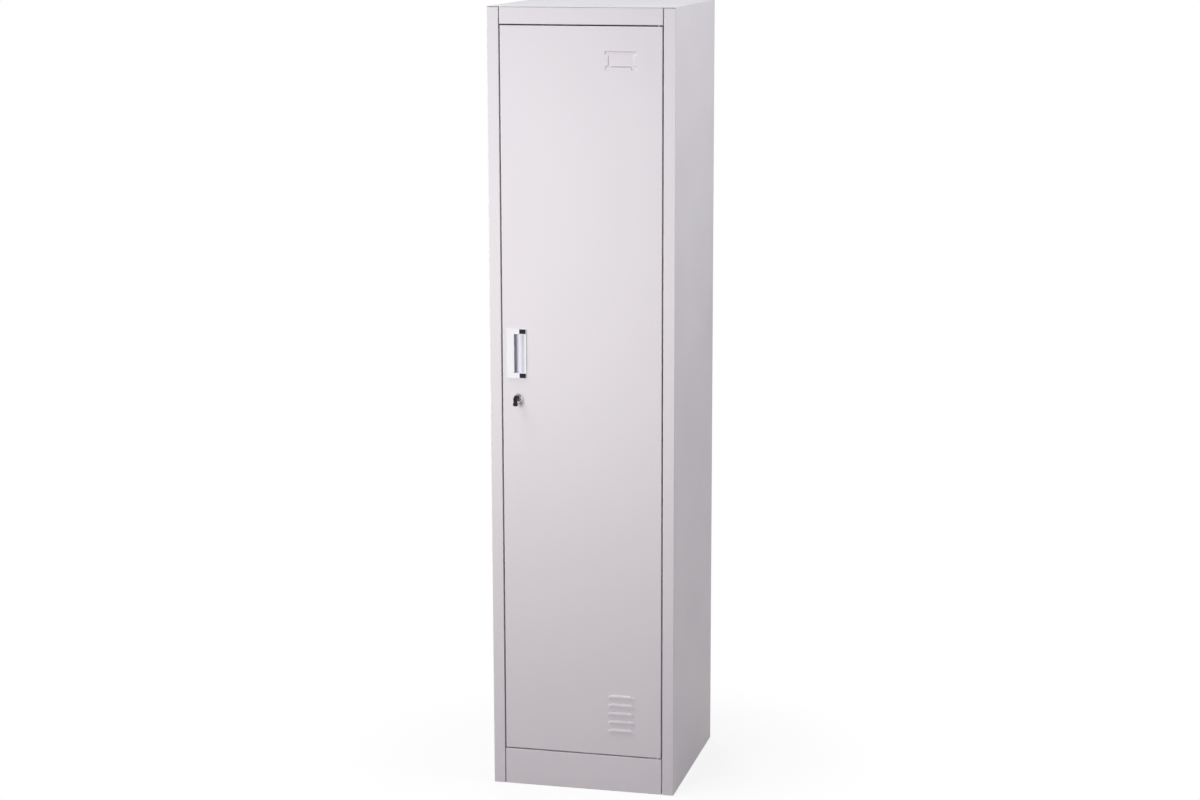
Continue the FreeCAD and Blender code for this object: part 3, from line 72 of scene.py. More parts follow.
bpy.ops.object.select_all(action="DESELECT")
bpy.ops.object.camera_add(location=CAMERA_PLACE,
                          rotation=(QUARTER_TURN + CAMERA_PITCH, CAMERA_ROLL, CAMERA_YAW))
camera = bpy.context.object
camera.name = "portrait_camera"
camera.data.sensor_width = SENSOR_WIDTH
camera.data.lens = LENS
bpy.context.scene.camera = camera
bpy.context.scene.view_settings.view_transform = "Standard"
print("camera at", CAMERA_PLACE, "lens", LENS)

# %% [markdown]
# ## Studio floor
# The locker stands on white paper that runs on without an edge. Rays that show the studio, from the
# camera or by a gloss, see mostly plain white; a little of the lit paper is mixed in near the locker
# so that its shadow stays, and that share fades out within a metre. Rays that only carry light see a
# darker floor, so that the lower half of the locker isn't lit from below.

# %% Helpers for nodes
def new_material(name):
    material = bpy.data.materials.new(name)
    material.use_nodes = True
    tree = material.node_tree
    tree.nodes.clear()
    return material, tree


def node(tree, kind, label, **settings):
    """A shader node with a label, its settings, and values for its inputs by name."""
    made = tree.nodes.new(kind)
    made.label = label
    inputs = settings.pop("inputs", {})
    for name, setting in settings.items():
        setattr(made, name, setting)
    for name, value in inputs.items():
        made.inputs[name].default_value = value
    return made


def join(tree, *steps):
    """Links pairs of sockets, each an output and an input."""
    for start, end in steps:
        tree.links.new(start, end)


def seen_white(tree, light):
    """A factor that is 1 for rays that show the studio: from the camera, a gloss or a glass."""
    seen = node(tree, "ShaderNodeMath", "camera or gloss", operation="MAXIMUM")
    shown = node(tree, "ShaderNodeMath", "or glass", operation="MAXIMUM")
    join(tree, (light.outputs["Is Camera Ray"], seen.inputs[0]),
         (light.outputs["Is Glossy Ray"], seen.inputs[1]),
         (seen.outputs[0], shown.inputs[0]), (light.outputs["Is Transmission Ray"], shown.inputs[1]))
    return shown.outputs[0]


print("a node gets a label, settings and input values")

# %% Floor
FLOOR_SIZE = 30.0
FLOOR_BOUNCE = (0.38, 0.34, 0.37, 1)
PAPER = (0.92, 0.92, 0.92, 1)
WHITE = (1, 1, 1, 1)
SHADOW_SHARE = 0.15
FADE_START, FADE_END = 0.25, 0.75

bpy.ops.object.select_all(action="DESELECT")
bpy.ops.mesh.primitive_plane_add(size=FLOOR_SIZE)
floor = bpy.context.object
floor.name = "studio_floor"

floor_material, tree = new_material("floor_white")
light_path = node(tree, "ShaderNodeLightPath", "which ray")
place = node(tree, "ShaderNodeTexCoord", "own metres")
away = node(tree, "ShaderNodeVectorMath", "distance from the locker", operation="LENGTH")
fade = node(tree, "ShaderNodeMapRange", "share of lit paper", interpolation_type="SMOOTHSTEP",
            inputs={"From Min": FADE_START, "From Max": FADE_END, "To Min": SHADOW_SHARE, "To Max": 0.0})
bounce = node(tree, "ShaderNodeBsdfDiffuse", "bounce", inputs={"Color": FLOOR_BOUNCE})
paper = node(tree, "ShaderNodeBsdfDiffuse", "paper", inputs={"Color": PAPER})
glow = node(tree, "ShaderNodeEmission", "white", inputs={"Color": WHITE, "Strength": 1.0})
shown = node(tree, "ShaderNodeMixShader", "white and paper")
pick = node(tree, "ShaderNodeMixShader", "bounce or shown")
out = node(tree, "ShaderNodeOutputMaterial", "floor")
join(tree, (place.outputs["Object"], away.inputs[0]), (away.outputs["Value"], fade.inputs["Value"]),
     (fade.outputs["Result"], shown.inputs["Fac"]), (glow.outputs[0], shown.inputs[1]),
     (paper.outputs[0], shown.inputs[2]), (seen_white(tree, light_path), pick.inputs["Fac"]),
     (bounce.outputs[0], pick.inputs[1]), (shown.outputs[0], pick.inputs[2]),
     (pick.outputs[0], out.inputs["Surface"]))
floor.data.materials.append(floor_material)
print("floor", FLOOR_SIZE, "m square")

# %% [markdown]
# ## World
# The world is the room's soft fill light. It is kept low, because seams and gaps look dark only
# when little light comes in from the sides. Camera and gloss see it as white, like the floor.

# %% World
AMBIENT = (0.20, 0.185, 0.20, 1)

world = bpy.data.worlds.new("studio")
world.use_nodes = True
bpy.context.scene.world = world
tree = world.node_tree
tree.nodes.clear()
light_path = node(tree, "ShaderNodeLightPath", "which ray")
fill = node(tree, "ShaderNodeBackground", "fill light", inputs={"Color": AMBIENT, "Strength": 1.0})
white = node(tree, "ShaderNodeBackground", "white", inputs={"Color": WHITE, "Strength": 1.0})
pick = node(tree, "ShaderNodeMixShader", "fill or white")
out = node(tree, "ShaderNodeOutputWorld", "studio")
join(tree, (seen_white(tree, light_path), pick.inputs["Fac"]), (fill.outputs[0], pick.inputs[1]),
     (white.outputs[0], pick.inputs[2]), (pick.outputs[0], out.inputs["Surface"]))
print("ambient", AMBIENT)

# %% [markdown]
# ## Lamps
# The key lamp stands on the left at chest height, with a grid that narrows its beam, so the door fades
# towards the floor. A lamp overhead gives each raised edge a bright and a dark side, a third one lights
# the right side, and one behind is there for whoever walks round. Gloss doesn't see the lamps, so
# chrome shows the white studio without glare.

# %% Lamps
TARGET = Vector((0.0, -0.2, 1.25))
LAMPS = (
    dict(name="key_lamp", place=(-0.75, -2.3, 1.25), size=1.0, power=16.6, colour=(1.0, 0.99, 0.97),
         spread=110),
    dict(name="top_lamp", place=(-1.4, -1.1, 3.8), size=1.4, power=54, colour=(0.9, 0.97, 1.0)),
    dict(name="side_lamp", place=(1.8, -0.2, 2.5), size=0.9, power=24.5, colour=(0.96, 0.97, 1.0)),
    dict(name="back_lamp", place=(-1.2, 2.8, 1.7), size=1.4, power=46, colour=(1.0, 0.985, 1.0)),
)


def soft_lamp(name, place, size, power, colour, spread=180):
    """A square area lamp that points at the locker; spread is its beam in degrees."""
    bpy.ops.object.select_all(action="DESELECT")
    bpy.ops.object.light_add(type="AREA", location=place)
    lamp = bpy.context.object
    lamp.name = name
    lamp.data.size = size
    lamp.data.energy = power
    lamp.data.color = colour
    lamp.data.spread = math.radians(spread)
    lamp.visible_glossy = False
    lamp.rotation_euler = (TARGET - Vector(place)).to_track_quat("-Z", "Y").to_euler()
    print(name, place, power, "W")


for settings in LAMPS:
    soft_lamp(**settings)

# %% [markdown]
# ## Shared effects
# Every finish drifts a little from place to place and has a fine grain. Zinc plate also shows small
# crystals. These effects are node groups, so each material can place them with its own values. They
# read object coordinates, which are metres here: a scale of 1000 makes a millimetre.
# Noise seldom leaves the middle of its range, so that part is spread over the whole factor.

# %% Helpers for node groups
def new_group(name, inputs, outputs):
    group = bpy.data.node_groups.new(name, "ShaderNodeTree")
    for label, start in inputs:
        socket = group.interface.new_socket(label, in_out="INPUT", socket_type="NodeSocketFloat")
        socket.default_value = start
    for label in outputs:
        group.interface.new_socket(label, in_out="OUTPUT", socket_type="NodeSocketFloat")
    entry = node(group, "NodeGroupInput", "values in")
    leave = node(group, "NodeGroupOutput", "values out")
    return group, entry, leave


def noise(tree, label, place, scale, detail):
    made = node(tree, "ShaderNodeTexNoise", label, inputs={"Detail": detail})
    join(tree, (place, made.inputs["Vector"]), (scale, made.inputs["Scale"]))
    return made.outputs["Fac"]


print("a group has named values in and out")

# %% Node groups
NOISE_LOW, NOISE_HIGH = 0.3, 0.7

drift_group, entry, leave = new_group("tone_drift", [("Scale", 3.0), ("Low", 0.97), ("High", 1.03)],
                                      ["Factor"])
place = node(drift_group, "ShaderNodeTexCoord", "own metres")
cloud = noise(drift_group, "slow clouds", place.outputs["Object"], entry.outputs["Scale"], detail=3.0)
spread = node(drift_group, "ShaderNodeMapRange", "to a factor",
              inputs={"From Min": NOISE_LOW, "From Max": NOISE_HIGH})
join(drift_group, (cloud, spread.inputs["Value"]), (entry.outputs["Low"], spread.inputs["To Min"]),
     (entry.outputs["High"], spread.inputs["To Max"]), (spread.outputs["Result"], leave.inputs["Factor"]))

grain_group, entry, leave = new_group("fine_grain", [("Scale", 900.0), ("Second Scale", 260.0)], ["Height"])
place = node(grain_group, "ShaderNodeTexCoord", "own metres")
pits = noise(grain_group, "small pits", place.outputs["Object"], entry.outputs["Scale"], detail=2.0)
waves = noise(grain_group, "longer waves", place.outputs["Object"], entry.outputs["Second Scale"], detail=1.0)
height = node(grain_group, "ShaderNodeMath", "pits on waves", operation="ADD")
join(grain_group, (pits, height.inputs[0]), (waves, height.inputs[1]),
     (height.outputs[0], leave.inputs["Height"]))

crystal_group, entry, leave = new_group("plating_crystals", [("Scale", 500.0), ("Low", 0.9), ("High", 1.1)],
                                        ["Factor"])
place = node(crystal_group, "ShaderNodeTexCoord", "own metres")
cells = node(crystal_group, "ShaderNodeTexVoronoi", "crystals")
shade = node(crystal_group, "ShaderNodeSeparateColor", "one number each")
spread = node(crystal_group, "ShaderNodeMapRange", "to a factor")
join(crystal_group, (place.outputs["Object"], cells.inputs["Vector"]),
     (entry.outputs["Scale"], cells.inputs["Scale"]),
     (cells.outputs["Color"], shade.inputs["Color"]), (shade.outputs["Red"], spread.inputs["Value"]),
     (entry.outputs["Low"], spread.inputs["To Min"]), (entry.outputs["High"], spread.inputs["To Max"]),
     (spread.outputs["Result"], leave.inputs["Factor"]))
print("groups:", drift_group.name, grain_group.name, crystal_group.name)

# %% [markdown]
# ## Finishes
# Each finish is one Principled shader. A tone group tints its colour, the drift group moves its
# roughness in smaller patches, and the grain group drives a Bump node. Numbers that are the same all
# over stay on the shader's own sockets. The powder coat's grain is the slight orange peel of baked
# paint. The recipes are named after the record's slots; nickel plate is one more, for the lock.

# %% Finish builder
ROUGHNESS_PATCHES = 3


def placed_group(tree, group, label, **values):
    made = node(tree, "ShaderNodeGroup", label, node_tree=group)
    for name, value in values.items():
        made.inputs[name.replace("_", " ")].default_value = value
    return made


def finish(name, colour, roughness, grain, bump, tone, tone_group=drift_group, **sockets):
    """A Principled finish: grain is two scales, bump a strength and depth, tone a scale and spread."""
    material, tree = new_material(name)
    shader = node(tree, "ShaderNodeBsdfPrincipled", name, inputs=sockets)
    out = node(tree, "ShaderNodeOutputMaterial", name)
    shade = placed_group(tree, tone_group, "tone", Scale=tone[0], Low=1 - tone[1], High=1 + tone[1])
    tint = node(tree, "ShaderNodeVectorMath", "colour with tone", operation="SCALE")
    tint.inputs[0].default_value = colour
    rough_drift = placed_group(tree, drift_group, "roughness drift", Scale=ROUGHNESS_PATCHES * tone[0],
                               Low=roughness[0], High=roughness[1])
    texture = placed_group(tree, grain_group, "grain", Scale=grain[0], Second_Scale=grain[1])
    relief = node(tree, "ShaderNodeBump", "relief", inputs={"Strength": bump[0], "Distance": bump[1]})
    join(tree, (shade.outputs["Factor"], tint.inputs["Scale"]),
         (tint.outputs["Vector"], shader.inputs["Base Color"]),
         (rough_drift.outputs["Factor"], shader.inputs["Roughness"]),
         (texture.outputs["Height"], relief.inputs["Height"]),
         (relief.outputs["Normal"], shader.inputs["Normal"]),
         (shader.outputs["BSDF"], out.inputs["Surface"]))
    return material, tint


print("a finish is tone, roughness and grain on one shader")

# %% Finishes
RECIPES = {
    "grey_coat": dict(name="grey_powder_coat", colour=(0.655, 0.628, 0.652), roughness=(0.36, 0.44),
                      grain=(1400, 420), bump=(0.25, 0.00006), tone=(2.2, 0.012)),
    "bright_chrome": dict(name="bright_chrome", colour=(0.90, 0.89, 0.92), roughness=(0.09, 0.15),
                          grain=(500, 90), bump=(0.02, 0.00002), tone=(60, 0.01), Metallic=1.0),
    "nickel_plate": dict(name="nickel_plate", colour=(0.80, 0.78, 0.785), roughness=(0.10, 0.17),
                         grain=(700, 120), bump=(0.02, 0.00002), tone=(60, 0.02), Metallic=1.0),
    "zinc_plate": dict(name="zinc_plate", colour=(0.62, 0.625, 0.63), roughness=(0.26, 0.40),
                       grain=(2600, 300), bump=(0.10, 0.00003), tone=(600, 0.09),
                       tone_group=crystal_group, Metallic=1.0),
    "black_plastic": dict(name="black_moulded_plastic", colour=(0.014, 0.014, 0.016), roughness=(0.38, 0.50),
                          grain=(3200, 700), bump=(0.30, 0.00004), tone=(40, 0.08),
                          **{"Specular IOR Level": 0.2}),
    "white_nylon": dict(name="white_nylon", colour=(0.78, 0.77, 0.73), roughness=(0.40, 0.52),
                        grain=(1800, 300), bump=(0.12, 0.00003), tone=(60, 0.02)),
    "black_rubber": dict(name="black_rubber", colour=(0.016, 0.016, 0.017), roughness=(0.70, 0.84),
                         grain=(2400, 500), bump=(0.35, 0.00005), tone=(70, 0.10)),
}
finishes = {slot: finish(**recipe)[0] for slot, recipe in RECIPES.items()}
slots = {row["node"]: row["material_slot"] for row in frame["record"]["subparts"]}
for name, slot in slots.items():
    nodes[name].data.materials.clear()
    nodes[name].data.materials.append(finishes[slot])
print("finishes:", sorted(finishes))

# %% [markdown]
# ## Modelling by operators
# The small fittings are modelled again with finer edges than the CAD solids have. Each starts as a
# primitive at its size and place, and is shaped in edit mode. An operator works on what is selected,
# so these helpers select by place: a test looks at the corners of each face, edge or vertex.

# %% Helpers for blocks
MM = 0.001
NEAR = 0.00001


def mm(x, y, z):
    """A place in millimetres, as a vector in metres."""
    return Vector((x, y, z)) * MM


def near(a, b):
    return abs(a - b) < NEAR


def within(value, span):
    return span[0] - NEAR < value < span[1] + NEAR


def only(piece):
    """Makes a piece the only selected one, and the active one."""
    bpy.ops.object.select_all(action="DESELECT")
    piece.select_set(True)
    bpy.context.view_layer.objects.active = piece


def block(name, low, high):
    """A cube stretched between two corners, with its place in its mesh."""
    bpy.ops.object.select_all(action="DESELECT")
    bpy.ops.mesh.primitive_cube_add(size=1, location=(Vector(low) + Vector(high)) / 2)
    piece = bpy.context.object
    piece.name = name
    piece.scale = Vector(high) - Vector(low)
    bpy.ops.object.transform_apply(location=True, rotation=True, scale=True)
    return piece


def edit(piece):
    only(piece)
    bpy.ops.object.mode_set(mode="EDIT")


def done():
    bpy.ops.object.mode_set(mode="OBJECT")


def choose(piece, kind, test):
    """In edit mode, selects the verts, edges or faces whose corners all pass a test."""
    bpy.ops.mesh.select_mode(type={"verts": "VERT", "edges": "EDGE", "faces": "FACE"}[kind])
    bpy.ops.mesh.select_all(action="DESELECT")
    mesh = bmesh.from_edit_mesh(piece.data)
    for item in getattr(mesh, kind):
        corners = [item] if kind == "verts" else item.verts
        if all(test(corner.co) for corner in corners):
            item.select_set(True)
    bmesh.update_edit_mesh(piece.data)


def slice_at(axis, *levels):
    """In edit mode, bisects the whole mesh with planes square to an axis."""
    square = Vector([float(index == axis) for index in range(3)])
    for level in levels:
        bpy.ops.mesh.select_all(action="SELECT")
        bpy.ops.mesh.bisect(plane_co=square * level, plane_no=square)


def round_edges(piece, test, width, segments):
    """In edit mode, bevels the edges whose corners pass a test."""
    choose(piece, "edges", test)
    bpy.ops.mesh.bevel(offset=width, segments=segments, affect="EDGES")


print("a block is a cube stretched between two corners")

# %% [markdown]
# Turned parts, such as pins and screw heads, come from a lathe. Here a plane is merged to a single
# point, the point is extruded along half of the part's outline, and the outline is spun about z.
# Spinning leaves doubles at the seam and may leave faces turned inside out, so both are put right.

# %% Helpers for turned pieces
def set_down(piece, place, turn=(0, 0, 0)):
    """Moves and turns a piece, and puts that place into its mesh."""
    only(piece)
    piece.location = place
    piece.rotation_euler = turn
    bpy.ops.object.transform_apply(location=True, rotation=True, scale=True)


def turned(name, outline, segments=48):
    """A piece spun about the z axis from an outline of (radius, height) in millimetres."""
    points = [Vector((radius * MM, 0, height * MM)) for radius, height in outline]
    bpy.ops.object.select_all(action="DESELECT")
    bpy.ops.mesh.primitive_plane_add(size=MM)
    piece = bpy.context.object
    piece.name = name
    bpy.ops.object.mode_set(mode="EDIT")
    bpy.ops.mesh.select_mode(type="VERT")
    bpy.ops.mesh.select_all(action="SELECT")
    bpy.ops.mesh.merge(type="CENTER")
    bpy.ops.transform.translate(value=points[0])
    for start, end in zip(points, points[1:]):
        bpy.ops.mesh.extrude_vertices_move(TRANSFORM_OT_translate={"value": end - start})
    bpy.ops.mesh.select_all(action="SELECT")
    bpy.ops.mesh.spin(steps=segments, angle=2 * math.pi, center=(0, 0, 0), axis=(0, 0, 1))
    bpy.ops.mesh.select_all(action="SELECT")
    bpy.ops.mesh.remove_doubles(threshold=NEAR / 10)
    bpy.ops.mesh.normals_make_consistent(inside=False)
    done()
    return piece


def dome(radius, base, crown, steps=8):
    """The outline of a domed head, from its rim up to its middle."""
    turns = [QUARTER_TURN * step / steps for step in range(steps)]
    rise = [(radius * math.cos(turn), base + crown * math.sin(turn)) for turn in turns]
    return rise + [(0, base + crown)]


def ridges(outer, inner, low, high, pitch):
    """The outline of a screw thread, drawn as ridges, from low up to high."""
    count = int((high - low) / pitch)
    points = []
    for index in range(count):
        points += [(inner, low + index * pitch), (outer, low + (index + 0.5) * pitch)]
    return points + [(inner, low + count * pitch)]


def flipped(outline, level=0):
    """An outline upside down, measured downwards from a level and still drawn from below."""
    return [(radius, level - height) for radius, height in reversed(outline)]


print("a dome's outline has", len(dome(4, 0, 2)), "points")

# %% [markdown]
# Some forms are easier to cut than to pull: a cross in a screw's head, a slot, a hole. A Boolean
# modifier is applied with a tool that is then thrown away. A finished piece is shaded smooth where
# its faces meet at small angles, gets its finish, and stands for its CAD node on the same body.

# %% Helpers for cutting and finishing
bodies = {name: body for body, names in frame["record"]["behaviour"]["bodies"].items() for name in names}


def carve(piece, tool, operation="DIFFERENCE"):
    """Applies a boolean with a tool, and throws the tool away."""
    only(piece)
    change = piece.modifiers.new(operation.lower(), "BOOLEAN")
    change.operation = operation
    change.object = tool
    bpy.ops.object.modifier_apply(modifier=change.name)
    bpy.data.objects.remove(tool)


def settle(piece, name, material=None, angle=35):
    """Smooths a piece, finishes it, and lets it stand for a CAD node on that node's body."""
    only(piece)
    bpy.ops.object.shade_smooth_by_angle(angle=math.radians(angle))
    piece.data.materials.clear()
    piece.data.materials.append(material or finishes[slots[name]])
    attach(piece, bodies[name])
    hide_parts(name)
    print(piece.name, "stands for", name, "with", len(piece.data.polygons), "faces")


def copies(pattern, name, spots):
    """Copies of one piece, each with its own mesh, set down at a place and turn and then joined."""
    made = []
    for place, turn in spots:
        only(pattern)
        bpy.ops.object.duplicate()
        copy = bpy.context.object
        set_down(copy, place, turn)
        made.append(copy)
    bpy.data.objects.remove(pattern)
    for copy in made:
        copy.select_set(True)
    bpy.context.view_layer.objects.active = made[0]
    bpy.ops.object.join()
    made[0].name = name
    return made[0]


print("bodies:", sorted(set(bodies.values())))

# %% [markdown]
# ## The pull's bezel
# The pull is a die-cast frame, chrome plated. Its wide band is what the fingers hook behind. It
# could be drawn as a flat outline and extruded, but slicing a block leaves all its corners on a
# clean grid: the window's faces go, its two rims are bridged, the two pockets are pushed in, and
# the edges are bevelled, the one under the fingers most of all.

# %% Bezel
FACE = -225.0 * MM
BAND = 16.5 * MM
CUP_WALL = 1.2 * MM
INSERT_TALL = 10.8 * MM
OUTER_ROUND = 0.6 * MM
FINGER_ROUND = 1.6 * MM
low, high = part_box("handle_bezel")
cup_low, cup_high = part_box("handle_cup")
insert_low, insert_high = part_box("handle_inserts")
INSERT_DEPTH = insert_high.y - insert_low.y
WINDOW_X = (low.x + BAND, cup_high.x - CUP_WALL)
WINDOW_Z = (cup_low.z + CUP_WALL, cup_high.z - CUP_WALL)
INSERT_X = (insert_low.x, insert_high.x)
INSERT_Z = ((insert_low.z, insert_low.z + INSERT_TALL), (insert_high.z - INSERT_TALL, insert_high.z))


def in_window(p):
    return within(p.x, WINDOW_X) and within(p.z, WINDOW_Z)


def on_rim(p, span_x, span_z):
    return any(near(*pair) for pair in zip((p.x, p.x, p.z, p.z), span_x + span_z))


def on_outer_rim(p):
    return on_rim(p, (low.x, high.x), (low.z, high.z))


bezel = block("pull_bezel", low, (high.x, FACE, high.z))
edit(bezel)
slice_at(0, *WINDOW_X, *INSERT_X)
slice_at(2, *WINDOW_Z, *INSERT_Z[0], *INSERT_Z[1])
for level in (low.y, FACE):
    choose(bezel, "faces", lambda p: near(p.y, level) and in_window(p))
    bpy.ops.mesh.delete(type="FACE")
choose(bezel, "edges", lambda p: in_window(p) and on_rim(p, WINDOW_X, WINDOW_Z))
bpy.ops.mesh.bridge_edge_loops()
for span in INSERT_Z:
    choose(bezel, "faces", lambda p: near(p.y, low.y) and within(p.x, INSERT_X) and within(p.z, span))
    bpy.ops.mesh.extrude_region_move(TRANSFORM_OT_translate={"value": (0, INSERT_DEPTH, 0)})
round_edges(bezel, lambda p: near(p.y, low.y) and on_outer_rim(p), OUTER_ROUND, segments=4)
round_edges(bezel, lambda p: near(p.y, low.y) and near(p.x, WINDOW_X[0]) and in_window(p), FINGER_ROUND,
            segments=5)
done()
settle(bezel, "handle_bezel")

# %% [markdown]
# ## The pull's cup
# Behind the window sits a pressed cup: a deep floor under the band, a ramp up from it and a narrow
# ledge. A plane is sliced where the form changes, its ledge is pulled forward, its border is
# extruded and flattened against the door's face, and the creases are rounded. Solidify then gives
# the sheet its thickness, on the side away from the fingers.

# %% Cup
FLOOR_WIDE = 17.0 * MM
LEDGE_WIDE = 5.0 * MM
LEDGE_DEEP = 1.6 * MM
FLOOR_BEND, LEDGE_BEND, WALL_BEND = 7.0 * MM, 3.0 * MM, 3.0 * MM
CUP_FLOOR = cup_high.y - CUP_WALL
CUP_LEDGE = FACE + LEDGE_DEEP
CUP_LEFT, CUP_RIGHT = cup_low.x + CUP_WALL, WINDOW_X[1]
RAMP_X = CUP_LEFT + FLOOR_WIDE
LEDGE_X = CUP_RIGHT - LEDGE_WIDE
RAMP_TURN = math.atan2(CUP_FLOOR - CUP_LEDGE, LEDGE_X - RAMP_X)

bpy.ops.object.select_all(action="DESELECT")
bpy.ops.mesh.primitive_plane_add(
    size=1, rotation=(QUARTER_TURN, 0, 0),
    location=((CUP_LEFT + CUP_RIGHT) / 2, CUP_FLOOR, sum(WINDOW_Z) / 2))
cup = bpy.context.object
cup.name = "pull_cup"
cup.scale = (CUP_RIGHT - CUP_LEFT, WINDOW_Z[1] - WINDOW_Z[0], 1)
bpy.ops.object.transform_apply(location=True, rotation=True, scale=True)
edit(cup)
slice_at(0, RAMP_X, LEDGE_X)
choose(cup, "verts", lambda p: p.x > LEDGE_X - NEAR)
bpy.ops.transform.translate(value=(0, CUP_LEDGE - CUP_FLOOR, 0))
bpy.ops.mesh.select_mode(type="EDGE")
bpy.ops.mesh.select_all(action="SELECT")
bpy.ops.mesh.region_to_loop()
bpy.ops.mesh.extrude_region_move()
bpy.ops.transform.resize(value=(1, 0, 1), center_override=(0, FACE, 0))
bpy.ops.mesh.select_all(action="SELECT")
bpy.ops.mesh.normals_make_consistent(inside=True)
for x, y, radius in ((RAMP_X, CUP_FLOOR, FLOOR_BEND), (LEDGE_X, CUP_LEDGE, LEDGE_BEND)):
    setback = radius * math.tan(RAMP_TURN / 2)
    round_edges(cup, lambda p: near(p.x, x) and near(p.y, y), setback, segments=8)
round_edges(cup, lambda p: near(p.x, CUP_LEFT) and near(p.y, CUP_FLOOR), WALL_BEND, segments=6)
done()
wall = cup.modifiers.new("wall", "SOLIDIFY")
wall.thickness = CUP_WALL
wall.offset = -1.0
only(cup)
bpy.ops.object.modifier_apply(modifier=wall.name)
print(cup.name, "ramp climbs at", round(math.degrees(RAMP_TURN)), "degrees")

# %% [markdown]
# A deep pressing takes plating badly, so the cup is sprayed with silver lacquer, a paint with a
# little metal in it. One more factor across the cup darkens the tint behind the band and on the ledge:
# this is painted shade, put into the colour where shade falls. Each stop is a share of the way
# across and the share of the tint that is left.

# %% Cup finish
# Painted shade: these stops darken the cup's tint behind the band and on the ledge.
PAINTED_SHADE_STOPS = ((0.10, 0.62), (0.50, 1.0), (0.62, 1.0), (0.84, 0.62))
HALF_WAY = 0.5

silver, tint = finish("silver_lacquer", colour=(0.86, 0.86, 0.94), roughness=(0.40, 0.48),
                      grain=(2200, 400), bump=(0.05, 0.00003), tone=(50, 0.012), Metallic=0.1)
tree = silver.node_tree
tone = tint.inputs["Scale"].links[0].from_socket
place = node(tree, "ShaderNodeTexCoord", "own metres")
parts = node(tree, "ShaderNodeSeparateXYZ", "across is x")
across = node(tree, "ShaderNodeMapRange", "from wall to rim",
              inputs={"From Min": CUP_LEFT, "From Max": CUP_RIGHT})
# This ramp paints shade into the cup's colour across its width.
painted_shade = node(tree, "ShaderNodeValToRGB", "painted shade across the cup")
while len(painted_shade.color_ramp.elements) < len(PAINTED_SHADE_STOPS):
    painted_shade.color_ramp.elements.new(HALF_WAY)
for stop, (position, level) in zip(painted_shade.color_ramp.elements, PAINTED_SHADE_STOPS):
    stop.position = position
    stop.color = (level, level, level, 1)
both = node(tree, "ShaderNodeMath", "tone and painted shade", operation="MULTIPLY")
join(tree, (place.outputs["Object"], parts.inputs["Vector"]), (parts.outputs["X"], across.inputs["Value"]),
     (across.outputs["Result"], painted_shade.inputs["Fac"]), (tone, both.inputs[0]),
     (painted_shade.outputs["Color"], both.inputs[1]), (both.outputs[0], tint.inputs["Scale"]))
settle(cup, "handle_cup", silver)

# %% [markdown]
# ## The black inserts
# Two moulded squares close the ends of the pull. One is made from a block: its front is inset and
# pushed in a little, as moulders do to keep a face from sinking, and its rims are rounded.

# %% Inserts
INSERT_PLAY = 0.05 * MM
INSERT_BORDER = 1.3 * MM
INSERT_SINK = 0.3 * MM
INSERT_ROUND = 0.2 * MM
wide = (INSERT_X[1] - INSERT_X[0]) / 2 - INSERT_PLAY
tall = INSERT_TALL / 2 - INSERT_PLAY

insert = block("pull_insert", (-wide, -INSERT_DEPTH, -tall), (wide, 0, tall))
edit(insert)
choose(insert, "faces", lambda p: near(p.y, -INSERT_DEPTH))
bpy.ops.mesh.inset(thickness=INSERT_BORDER, depth=0)
bpy.ops.mesh.extrude_region_move(TRANSFORM_OT_translate={"value": (0, INSERT_SINK, 0)})
round_edges(insert, lambda p: near(p.y, -INSERT_DEPTH), INSERT_ROUND, segments=3)
done()
insert_spots = [((sum(INSERT_X) / 2, insert_high.y, sum(span) / 2), (0, 0, 0)) for span in INSERT_Z]
settle(copies(insert, "pull_inserts", insert_spots), "handle_inserts")

# %% [markdown]
# ## The lock
# A cam lock is a threaded housing with a turning plug. Both are turned parts, so each is one
# outline, spun, and both are nickel plated, a little darker and warmer than the pull. The housing's
# thread is drawn as ridges. The plug gets its keyway and its square from booleans, which suit a slot
# that meets a round face. Heights are millimetres out of the door's face.

# %% Lock housing and plug
LOCK = mm(-153.5, -225.0, 947.0)
OUT_OF_DOOR = (QUARTER_TURN, 0, 0)
LOCK_FRONT = 4.5
HOUSING_REAR, HOUSING_BORE = -25.1, 6.05
RING_RADIUS, RECESS_RADIUS, RECESS_FLOOR = 12.0, 7.55, 2.45
THREAD_CREST, THREAD_ROOT, THREAD_PITCH = 9.4, 8.9, 1.0
PLUG_REAR, PLUG_RADIUS = -25.4, 6.0
FLANGE_REAR, FLANGE_RADIUS = 2.5, 7.5
SQUARE_HALF, SQUARE_ROOT, SQUARE_REAR = 3.5, -25.0, -27.4
KEYWAY_HALF, KEYWAY_EDGE, KEYWAY_FLOOR, KEYWAY_OVER = 1.2, 4.2, -17.5, 0.5

housing = turned("lock_ring", [
    (HOUSING_BORE, HOUSING_REAR), (8.8, HOUSING_REAR),
    *ridges(THREAD_CREST, THREAD_ROOT, -24.8, -0.8, THREAD_PITCH),
    (THREAD_CREST, -0.5), (THREAD_CREST, 0.0), (RING_RADIUS, 0.0), (RING_RADIUS, 2.9),
    (11.85, 3.5), (11.3, 4.1), (10.7, 4.42), (10.2, LOCK_FRONT), (8.2, LOCK_FRONT), (7.8, 4.35),
    (RECESS_RADIUS, 4.0), (RECESS_RADIUS, RECESS_FLOOR), (HOUSING_BORE, RECESS_FLOOR),
    (HOUSING_BORE, HOUSING_REAR)], segments=64)
set_down(housing, LOCK, OUT_OF_DOOR)
settle(housing, "lock_housing", finishes["nickel_plate"])

